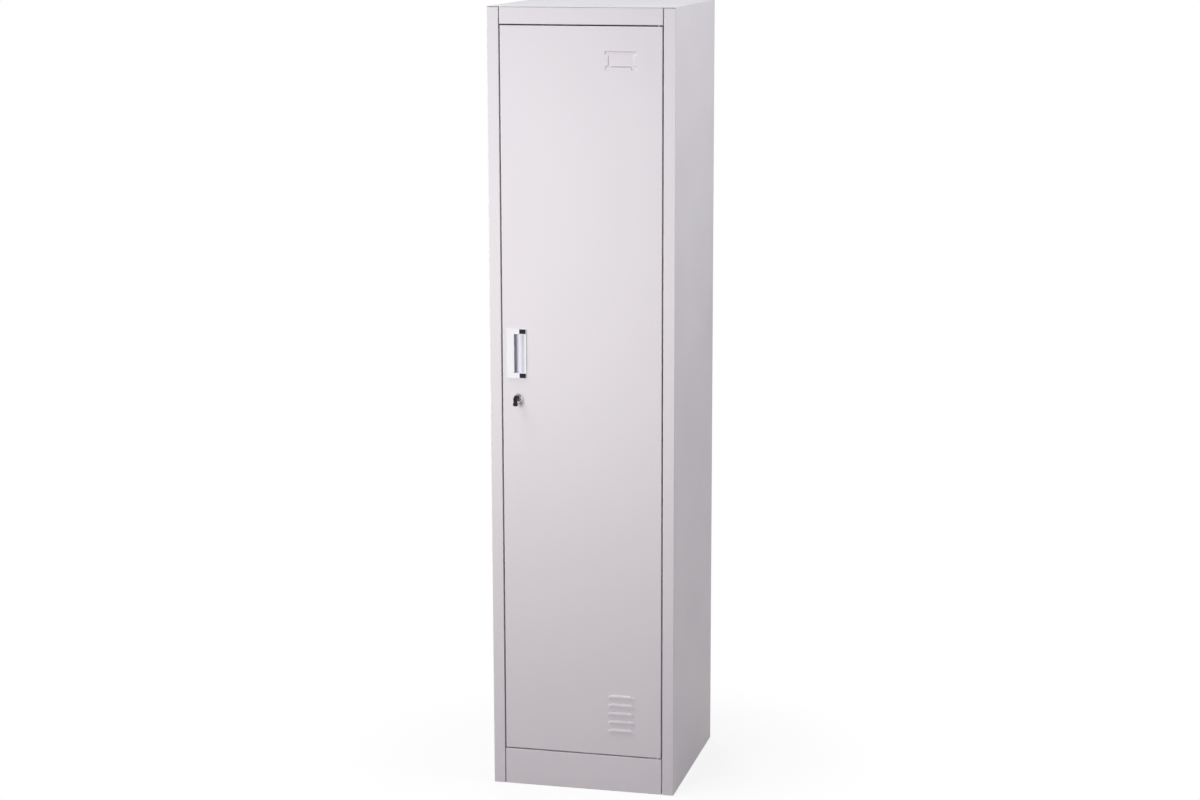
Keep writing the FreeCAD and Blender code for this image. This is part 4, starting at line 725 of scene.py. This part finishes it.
plug = turned("lock_barrel", [
    (0, PLUG_REAR), (PLUG_RADIUS, PLUG_REAR), (PLUG_RADIUS, FLANGE_REAR), (FLANGE_RADIUS, FLANGE_REAR),
    (FLANGE_RADIUS, 4.1), (7.35, 4.38), (7.05, LOCK_FRONT), (5.3, LOCK_FRONT), (5.1, 4.25), (4.9, 4.25),
    (4.7, LOCK_FRONT), (0, LOCK_FRONT)], segments=64)
carve(plug, block("square", mm(-SQUARE_HALF, -SQUARE_HALF, SQUARE_REAR),
                  mm(SQUARE_HALF, SQUARE_HALF, SQUARE_ROOT)), "UNION")
carve(plug, block("keyway", mm(-KEYWAY_HALF, -KEYWAY_EDGE, KEYWAY_FLOOR),
                  mm(KEYWAY_HALF, KEYWAY_EDGE, LOCK_FRONT + KEYWAY_OVER)))
set_down(plug, LOCK, OUT_OF_DOOR)
settle(plug, "lock_plug", finishes["nickel_plate"])

# %% [markdown]
# Behind the door a flat cam hangs from the plug's square. It is a block with its corners rounded by
# a bevel, a square hole punched through, and the slightly soft rim that a press tool leaves.

# %% Cam
CAM_HALF, CAM_TOP, CAM_TIP = 8.0, 8.0, -33.0
CAM_REAR, CAM_FRONT = SQUARE_REAR, PLUG_REAR
CAM_TOP_ROUND, CAM_TIP_ROUND, CAM_RIM = 7.0, 4.8, 0.25
PUNCH_HALF, PUNCH_REAR, PUNCH_FRONT = 3.55, -30.0, -20.0

cam = block("lock_cam_plate", mm(-CAM_HALF, CAM_TIP, CAM_REAR), mm(CAM_HALF, CAM_TOP, CAM_FRONT))
edit(cam)
for y, radius in ((CAM_TOP, CAM_TOP_ROUND), (CAM_TIP, CAM_TIP_ROUND)):
    for x in (-CAM_HALF, CAM_HALF):
        round_edges(cam, lambda p: near(p.x, x * MM) and near(p.y, y * MM), radius * MM, segments=8)
for level in (CAM_REAR, CAM_FRONT):
    round_edges(cam, lambda p: near(p.z, level * MM), CAM_RIM * MM, segments=2)
done()
carve(cam, block("punch", mm(-PUNCH_HALF, -PUNCH_HALF, PUNCH_REAR), mm(PUNCH_HALF, PUNCH_HALF, PUNCH_FRONT)))
set_down(cam, LOCK, OUT_OF_DOOR)
settle(cam, "lock_cam")

# %% [markdown]
# ## Nuts
# A hexagon nut is a slice of hexagon bar with its corners turned off. The turned blank, with its
# bore and its two cones, is made first, and a six-sided bar, three times as long, is intersected
# with it.

# %% Hexagon nuts
CONE_START, CONE_END = 0.97, 1.02
CONE_TURN = math.radians(28)
CORNERS_ON_X = math.radians(30)
BAR_LENGTH = 3
FLAT_SMOOTHING = 20
LOCK_NUT_SEAT = 5.8


def hexagon_nut(name, flats, bore, height):
    """A nut from height 0 up; its cones start inside the flats and end just past the corners."""
    corners = flats / math.sqrt(3)
    inner = flats / 2 * CONE_START
    outer = corners * CONE_END
    slope = (outer - inner) * math.tan(CONE_TURN)
    nut = turned(name, [(bore / 2, 0), (inner, 0), (outer, slope), (outer, height - slope), (inner, height),
                        (bore / 2, height), (bore / 2, 0)])
    bpy.ops.object.select_all(action="DESELECT")
    bpy.ops.mesh.primitive_cylinder_add(vertices=6, radius=corners * MM, depth=BAR_LENGTH * height * MM,
                                        rotation=(0, 0, CORNERS_ON_X))
    bar = bpy.context.object
    bpy.ops.object.transform_apply(location=True, rotation=True, scale=True)
    carve(nut, bar, "INTERSECT")
    return nut


lock_nut = hexagon_nut("lock_ring_nut", flats=24.0, bore=18.8, height=5.0)
set_down(lock_nut, LOCK + Vector((0, LOCK_NUT_SEAT * MM, 0)), OUT_OF_DOOR)
settle(lock_nut, "lock_nut", angle=FLAT_SMOOTHING)

# %% [markdown]
# ## Screws
# A pan head is a dome on a straight rim. Its cross is carved by a tool of two tapered arms, and the
# shank's thread is ridges again. Each kind of screw is made once and copied to its places.

# %% Screw builder
SCREW_PITCH, SCREW_THREAD = 0.8, 0.3
POINT_EASE, POINT_TALL = 0.5, 0.4
NECK_LOW, NECK_HIGH = -0.6, -0.1
CROSS_DEEP, CROSS_REACH, CROSS_WIDE, CROSS_TAPER = 0.7, 0.52, 0.13, 0.55
TOOL_OVER = 1


def cross_tool(top, depth, reach, width):
    """Two tapered arms, to be carved out of a head whose top is at a height."""
    arms = []
    bottom = top - depth
    for long, deep in ((reach, width), (width, reach)):
        arm = block("arm", mm(-long / 2, -deep / 2, bottom), mm(long / 2, deep / 2, top + TOOL_OVER))
        edit(arm)
        choose(arm, "faces", lambda p: near(p.z, bottom * MM))
        bpy.ops.transform.resize(value=(CROSS_TAPER, CROSS_TAPER, 1), center_override=(0, 0, bottom * MM))
        done()
        arms.append(arm)
    carve(*arms, "UNION")
    return arms[0]


def pan_screw(name, shank, length, head, crown, rim):
    """A screw with its seat at height 0, its head above and its shank below, in millimetres."""
    radius = shank / 2
    thread = ridges(radius, radius - SCREW_THREAD, -length + POINT_TALL, NECK_LOW, SCREW_PITCH)
    screw = turned(name, [(0, -length), (radius - POINT_EASE, -length), *thread, (radius, NECK_HIGH),
                          (radius, 0), (head / 2, 0), *dome(head / 2, rim, crown - rim)])
    carve(screw, cross_tool(crown, crown * CROSS_DEEP, head * CROSS_REACH, head * CROSS_WIDE))
    return screw


print("a cross is", CROSS_REACH, "of its head across")

# %% Screws behind the locker
TO_THE_BACK = (-QUARTER_TURN, 0, 0)
SHEET_HEAD = dict(shank=5.0, head=9.0, crown=2.0, rim=0.7)
SHEET_NUT = dict(flats=8.0, bore=5.0, height=4.0)
TRAY_SCREW = 43.5
SIDE_X, SIDE_SEAT = 212.5, 225.0
SIDE_LOW, SIDE_HIGH, SIDE_ROWS = 120.0, 1730.0, 4
MIDDLE_X, MIDDLE_SEAT, MIDDLE_HIGH = 120.0, 224.2, 1840.0
BACK_STACK = 1.6

side_heights = [SIDE_LOW + step * (SIDE_HIGH - SIDE_LOW) / (SIDE_ROWS - 1) for step in range(SIDE_ROWS)]
back_spots = [mm(x, SIDE_SEAT, z) for x in (-SIDE_X, SIDE_X) for z in side_heights]
back_spots += [mm(x, MIDDLE_SEAT, z) for x in (-MIDDLE_X, MIDDLE_X) for z in (TRAY_SCREW, MIDDLE_HIGH)]
back_screws = copies(pan_screw("back_screw", length=6.6, **SHEET_HEAD), "back_screw_set",
                     [(spot, TO_THE_BACK) for spot in back_spots])
settle(back_screws, "back_screws")
back_nuts = copies(hexagon_nut("back_nut", **SHEET_NUT), "back_nut_set",
                   [(spot - Vector((0, BACK_STACK * MM, 0)), OUT_OF_DOOR) for spot in back_spots])
settle(back_nuts, "back_nuts", angle=FLAT_SMOOTHING)

# %% Screws of the frame
FRAME_X, FRAME_Y, FRAME_HIGH = 190.2, -213.0, 1830.0
FRAME_STACK = 3.4

frame_spots = [(mm(side * FRAME_X, FRAME_Y, z), side) for side in (-1, 1) for z in (TRAY_SCREW, FRAME_HIGH)]
frame_screws = copies(pan_screw("frame_screw", length=8.4, **SHEET_HEAD), "frame_screw_set",
                      [(spot, (0, -side * QUARTER_TURN, 0)) for spot, side in frame_spots])
settle(frame_screws, "frame_screws")
nut_spots = [(spot + Vector((side * FRAME_STACK * MM, 0, 0)), (0, side * QUARTER_TURN, 0))
             for spot, side in frame_spots]
frame_nuts = copies(hexagon_nut("frame_nut", **SHEET_NUT), "frame_nut_set", nut_spots)
settle(frame_nuts, "frame_nuts", angle=FLAT_SMOOTHING)

# %% Screws of the pull and the cam
DOOR_SHEET = 0.8
PULL_HEAD = 8.0

low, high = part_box("handle_screws")
pull_heights = (low.z + PULL_HEAD / 2 * MM, high.z - PULL_HEAD / 2 * MM)
pull_spots = [((low.x + high.x) / 2, FACE + DOOR_SHEET * MM, z) for z in pull_heights]
pull_screw = pan_screw("pull_screw", shank=3.5, length=2.8, head=PULL_HEAD, crown=2.1, rim=0.8)
pull_screws = copies(pull_screw, "pull_screw_set", [(spot, TO_THE_BACK) for spot in pull_spots])
settle(pull_screws, "handle_screws")

cam_screw = pan_screw("lock_cam_screw", shank=4.0, length=8.0, head=9.0, crown=2.4, rim=1.0)
set_down(cam_screw, LOCK - Vector((0, CAM_REAR * MM, 0)), TO_THE_BACK)
settle(cam_screw, "cam_screw")

# %% [markdown]
# ## The folding key
# The key's black collar carries a tongue with a round end, and the head hangs from it on a pin. The
# round end is a bevel a hair less than half the tongue, so its two arcs meet without crossing. All is
# made about the lock's axis, with z out of the door, and set down at the lock at the end.

# %% Key collar
FOLD = 22.6
COLLAR_X, COLLAR_Y, COLLAR_LOW, COLLAR_HIGH = 5.0, 5.5, 6.0, 19.0
COLLAR_ROUND, COLLAR_TOP_ROUND, COLLAR_FOOT_ROUND = 2.0, 0.7, 0.4
TONGUE_X, TONGUE_Y, TONGUE_ROOT = 1.75, 3.0, 17.0
TONGUE_END = FOLD + TONGUE_Y
SOCKET_X, SOCKET_Y, SOCKET_TOP = 1.1, 4.1, 12.0
PIN_RADIUS = 1.0
HAIR = 0.01
DRILL_LONG = 40


def drill(piece, radius, height):
    """A hole along x, through the whole piece, at a height on the lock's axis."""
    bpy.ops.object.select_all(action="DESELECT")
    bpy.ops.mesh.primitive_cylinder_add(vertices=32, radius=radius * MM, depth=DRILL_LONG * MM,
                                        location=(0, 0, height * MM), rotation=(0, QUARTER_TURN, 0))
    bit = bpy.context.object
    bpy.ops.object.transform_apply(location=True, rotation=True, scale=True)
    carve(piece, bit)


collar = block("key_hinge_collar", mm(-COLLAR_X, -COLLAR_Y, COLLAR_LOW), mm(COLLAR_X, COLLAR_Y, COLLAR_HIGH))
edit(collar)
for x in (-COLLAR_X, COLLAR_X):
    for y in (-COLLAR_Y, COLLAR_Y):
        round_edges(collar, lambda p: near(p.x, x * MM) and near(p.y, y * MM), COLLAR_ROUND * MM, segments=5)
round_edges(collar, lambda p: near(p.z, COLLAR_HIGH * MM), COLLAR_TOP_ROUND * MM, segments=3)
round_edges(collar, lambda p: near(p.z, COLLAR_LOW * MM), COLLAR_FOOT_ROUND * MM, segments=2)
done()
tongue = block("tongue", mm(-TONGUE_X, -TONGUE_Y, TONGUE_ROOT), mm(TONGUE_X, TONGUE_Y, TONGUE_END))
edit(tongue)
for y in (-TONGUE_Y, TONGUE_Y):
    round_edges(tongue, lambda p: near(p.z, TONGUE_END * MM) and near(p.y, y * MM), (TONGUE_Y - HAIR) * MM,
                segments=8)
done()
carve(collar, tongue, "UNION")
carve(collar, block("socket", mm(-SOCKET_X, -SOCKET_Y, COLLAR_LOW - TOOL_OVER),
                    mm(SOCKET_X, SOCKET_Y, SOCKET_TOP)))
drill(collar, PIN_RADIUS, FOLD)
set_down(collar, LOCK, OUT_OF_DOOR)
settle(collar, "key_collar")

# %% Key pin
PIN_HALF, PIN_EASE = 4.6, 0.25
PIN_END = [(PIN_RADIUS, PIN_HALF - PIN_EASE), (PIN_RADIUS - PIN_EASE, PIN_HALF), (0, PIN_HALF)]
pin = turned("key_fold_pin", [*flipped(PIN_END), *PIN_END], segments=24)
set_down(pin, LOCK - Vector((0, FOLD * MM, 0)), (0, QUARTER_TURN, 0))
settle(pin, "key_pin")

# %% [markdown]
# The head is sliced at the heights where its width changes, and each slice is scaled across to give
# the grip its waist and swell. Two cheeks are joined on for the pin, and every rim is rounded.

# %% Key head
GRIP_LEVELS = ((-5.8, 4.25), (-8.0, 4.0), (-9.8, 4.8), (-11.6, 5.6), (-13.2, 5.8), (-14.8, 5.6),
               (-16.3, 4.8), (-17.5, 3.4))
GRIP_TOP, GRIP_END = -3.6, GRIP_LEVELS[-1][0]
GRIP_NECK, GRIP_HALF, GRIP_RIM = 4.6, 2.5, 1.1
REAR, FRONT = FOLD - GRIP_HALF, FOLD + GRIP_HALF
CHEEK_INNER, CHEEK_LOW = 1.9, -5.4
PIN_PLAY = 0.05

grip = block("key_grip_head", mm(-GRIP_NECK, GRIP_END, REAR), mm(GRIP_NECK, GRIP_TOP, FRONT))
edit(grip)
slice_at(1, *[level * MM for level, half in GRIP_LEVELS[:-1]])
for level, half in GRIP_LEVELS:
    choose(grip, "verts", lambda p: near(p.y, level * MM))
    bpy.ops.transform.resize(value=(half / GRIP_NECK, 1, 1), center_override=(0, level * MM, 0))
for level in (REAR, FRONT):
    choose(grip, "faces", lambda p: near(p.z, level * MM))
    bpy.ops.mesh.region_to_loop()
    bpy.ops.mesh.bevel(offset=GRIP_RIM * MM, segments=4, affect="EDGES")
done()
for side in (-1, 1):
    inner, outer = sorted((side * CHEEK_INNER, side * GRIP_NECK))
    cheek = block("cheek", mm(inner, CHEEK_LOW, REAR), mm(outer, GRIP_HALF, FRONT))
    edit(cheek)
    for level in (REAR, FRONT):
        round_edges(cheek, lambda p: near(p.y, GRIP_HALF * MM) and near(p.z, level * MM),
                    (GRIP_HALF - HAIR) * MM, segments=8)
    done()
    carve(grip, cheek, "UNION")
drill(grip, PIN_RADIUS + PIN_PLAY, FOLD)
set_down(grip, LOCK, OUT_OF_DOOR)
settle(grip, "key_head")

# %% [markdown]
# The blade is a strip with notches. Slices give the strip a row of points along its lower edge, and
# the middle one of each three is pushed up. The points at the tip are pushed in to taper it, and a
# shallow groove is milled along each side.

# %% Key blade
EDGE, THICK = 4.1, 1.1
TIP, TANG = -15.5, 12.0
FIRST_NOTCH, NOTCH_PITCH, NOTCH_COUNT = 2.0, 3.4, 4
NOTCH_HALF, NOTCH_DEEP = 1.2, 1.4
NOTCHES = [TIP + FIRST_NOTCH + NOTCH_PITCH * index for index in range(NOTCH_COUNT)]
TAPER = ((EDGE, TIP, -EDGE), (-EDGE, TIP, EDGE / 2), (EDGE, NOTCHES[0], -EDGE / 2),
         (EDGE, NOTCHES[0] + NOTCH_HALF, -EDGE / 5))
GROOVE_FLOOR, GROOVE_OUTSIDE = 0.75, 2.0
GROOVE_LOW, GROOVE_HIGH, GROOVE_END = 0.4, 1.8, 5.0

blade = block("key_strip", mm(-THICK, -EDGE, TIP), mm(THICK, EDGE, TANG))
edit(blade)
slice_at(2, *[(start + step) * MM for start in NOTCHES for step in (0.0, NOTCH_HALF, 2 * NOTCH_HALF)])
for start in NOTCHES:
    choose(blade, "verts", lambda p: near(p.y, -EDGE * MM) and near(p.z, (start + NOTCH_HALF) * MM))
    bpy.ops.transform.translate(value=(0, NOTCH_DEEP * MM, 0))
for y, level, push in TAPER:
    choose(blade, "verts", lambda p: near(p.y, y * MM) and near(p.z, level * MM))
    bpy.ops.transform.translate(value=(0, push * MM, 0))
done()
for side in (-1, 1):
    inner, outer = sorted((side * GROOVE_FLOOR, side * GROOVE_OUTSIDE))
    carve(blade, block("groove", mm(inner, GROOVE_LOW, TIP - TOOL_OVER), mm(outer, GROOVE_HIGH, GROOVE_END)))
set_down(blade, LOCK, OUT_OF_DOOR)
settle(blade, "key_blade", angle=FLAT_SMOOTHING)

# %% [markdown]
# ## Hinges
# The door swings on two pins in nylon bushes. The top pin drops in from above and has a head; the
# bottom one is riveted in, and its collar carries the door. All four are lathe work. A hair of play
# between collar and bush keeps the two meshes from cutting into each other as the door turns.

# %% Hinge pins and bushes
HINGE = mm(180.0, -217.0, 0.0)
DOOR_LOW, DOOR_HIGH = 90.0, 1807.0
FASCIA, PLINTH = 1810.0, 87.0
UPSIDE_DOWN = (math.pi, 0, 0)
PIN_SHANK, PIN_COLLAR, PIN_SEAT = 2.5, 3.5, 0.8
COLLAR_PLAY = 0.05
COLLAR_TOP = DOOR_LOW - PLINTH - COLLAR_PLAY
PIN_POINT = [(PIN_SHANK, 18.5), (1.9, 20.8), (1.5, 21), (0, 21)]
PIN_HEAD = [(PIN_SHANK, PIN_SEAT), (PIN_COLLAR, PIN_SEAT), (PIN_COLLAR, 2.6), (3.3, 3.05), (2.8, 3.3),
            (0, 3.3)]
BUSH = [(2.55, 0.3), (2.85, 0), (4.5, 0), (4.5, 3.3), (6.5, 3.3), (6.5, 4.5), (6.2, 4.8), (2.85, 4.8),
        (2.55, 4.5), (2.55, 0.3)]

top_pin = turned("top_pin", [*flipped(PIN_POINT), *PIN_HEAD], segments=32)
set_down(top_pin, HINGE + mm(0, 0, FASCIA))
settle(top_pin, "top_hinge_pin")
collar_outline = [(PIN_SHANK, 0), (PIN_COLLAR, 0), (PIN_COLLAR, COLLAR_TOP), (PIN_SHANK, COLLAR_TOP)]
bottom_pin = turned("bottom_pin", [*flipped(PIN_HEAD), *collar_outline, *PIN_POINT], segments=32)
set_down(bottom_pin, HINGE + mm(0, 0, PLINTH))
settle(bottom_pin, "bottom_hinge_pin")

for name, height, turn in (("bottom", DOOR_LOW, (0, 0, 0)), ("top", DOOR_HIGH, UPSIDE_DOWN)):
    bush = turned(f"{name}_bush", BUSH, segments=32)
    set_down(bush, HINGE + mm(0, 0, height), turn)
    settle(bush, f"{name}_hinge_bush")

# %% [markdown]
# ## Buffers, rivets and rail
# Rubber buffers with a domed, grooved tip quiet the door. Each rivet has a dome at both ends. The
# rail is tube, with its ends eased by a small chamfer so that they slide into their sockets.

# %% Buffers
BUFFER_X, STOP_LIP = -185.3, -201.0
BUFFER_HEIGHTS = (510.0, 1387.0)
BUFFER = [(0, -2.3), (2.4, -2.3), (3.5, -0.8), (2.4, -0.8), (2.4, 0), (4.5, 0), (4.45, 1.0), (4.15, 1.3),
          (4.15, 1.9), (4.3, 2.2), (4.1, 4.4), (3.6, 5.3), (2.6, 5.7), (0, 5.7)]

buffers = copies(turned("buffer", BUFFER, segments=32), "rubber_buffers",
                 [(mm(BUFFER_X, STOP_LIP, z), OUT_OF_DOOR) for z in BUFFER_HEIGHTS])
settle(buffers, "door_buffers")

# %% Rivets and rail
SHELF = 1510.0
RIVET_X, RIVET_DEPTHS = 174.2, (8.6, 34.6)
RIVET_GRIP, RIVET_SHANK, RIVET_HEAD, RIVET_RIM, RIVET_CROWN = 3.8, 2.0, 4.0, 0.3, 1.1
RAIL_PLACE = mm(0, 21.6, 1463.2)
RAIL_END, RAIL_RADIUS, RAIL_BORE, RAIL_EASE = 193.9, 12.5, 11.3, 0.5

rivet_top = [(RIVET_SHANK, 0), (RIVET_HEAD, 0), *dome(RIVET_HEAD, RIVET_RIM, RIVET_CROWN)]
rivet = turned("rivet", [*flipped(rivet_top, -RIVET_GRIP), *rivet_top], segments=32)
rivets = copies(rivet, "rail_rivet_set",
                [(mm(x, y, SHELF), (0, 0, 0)) for x in (-RIVET_X, RIVET_X) for y in RIVET_DEPTHS])
settle(rivets, "rail_rivets")

rail_top = [(RAIL_RADIUS, RAIL_END - RAIL_EASE), (RAIL_RADIUS - RAIL_EASE, RAIL_END), (RAIL_BORE, RAIL_END)]
rail = turned("coat_rail", [*flipped(rail_top), *rail_top, (RAIL_BORE, -RAIL_END)])
set_down(rail, RAIL_PLACE, (0, QUARTER_TURN, 0))
settle(rail, "hanging_rail")
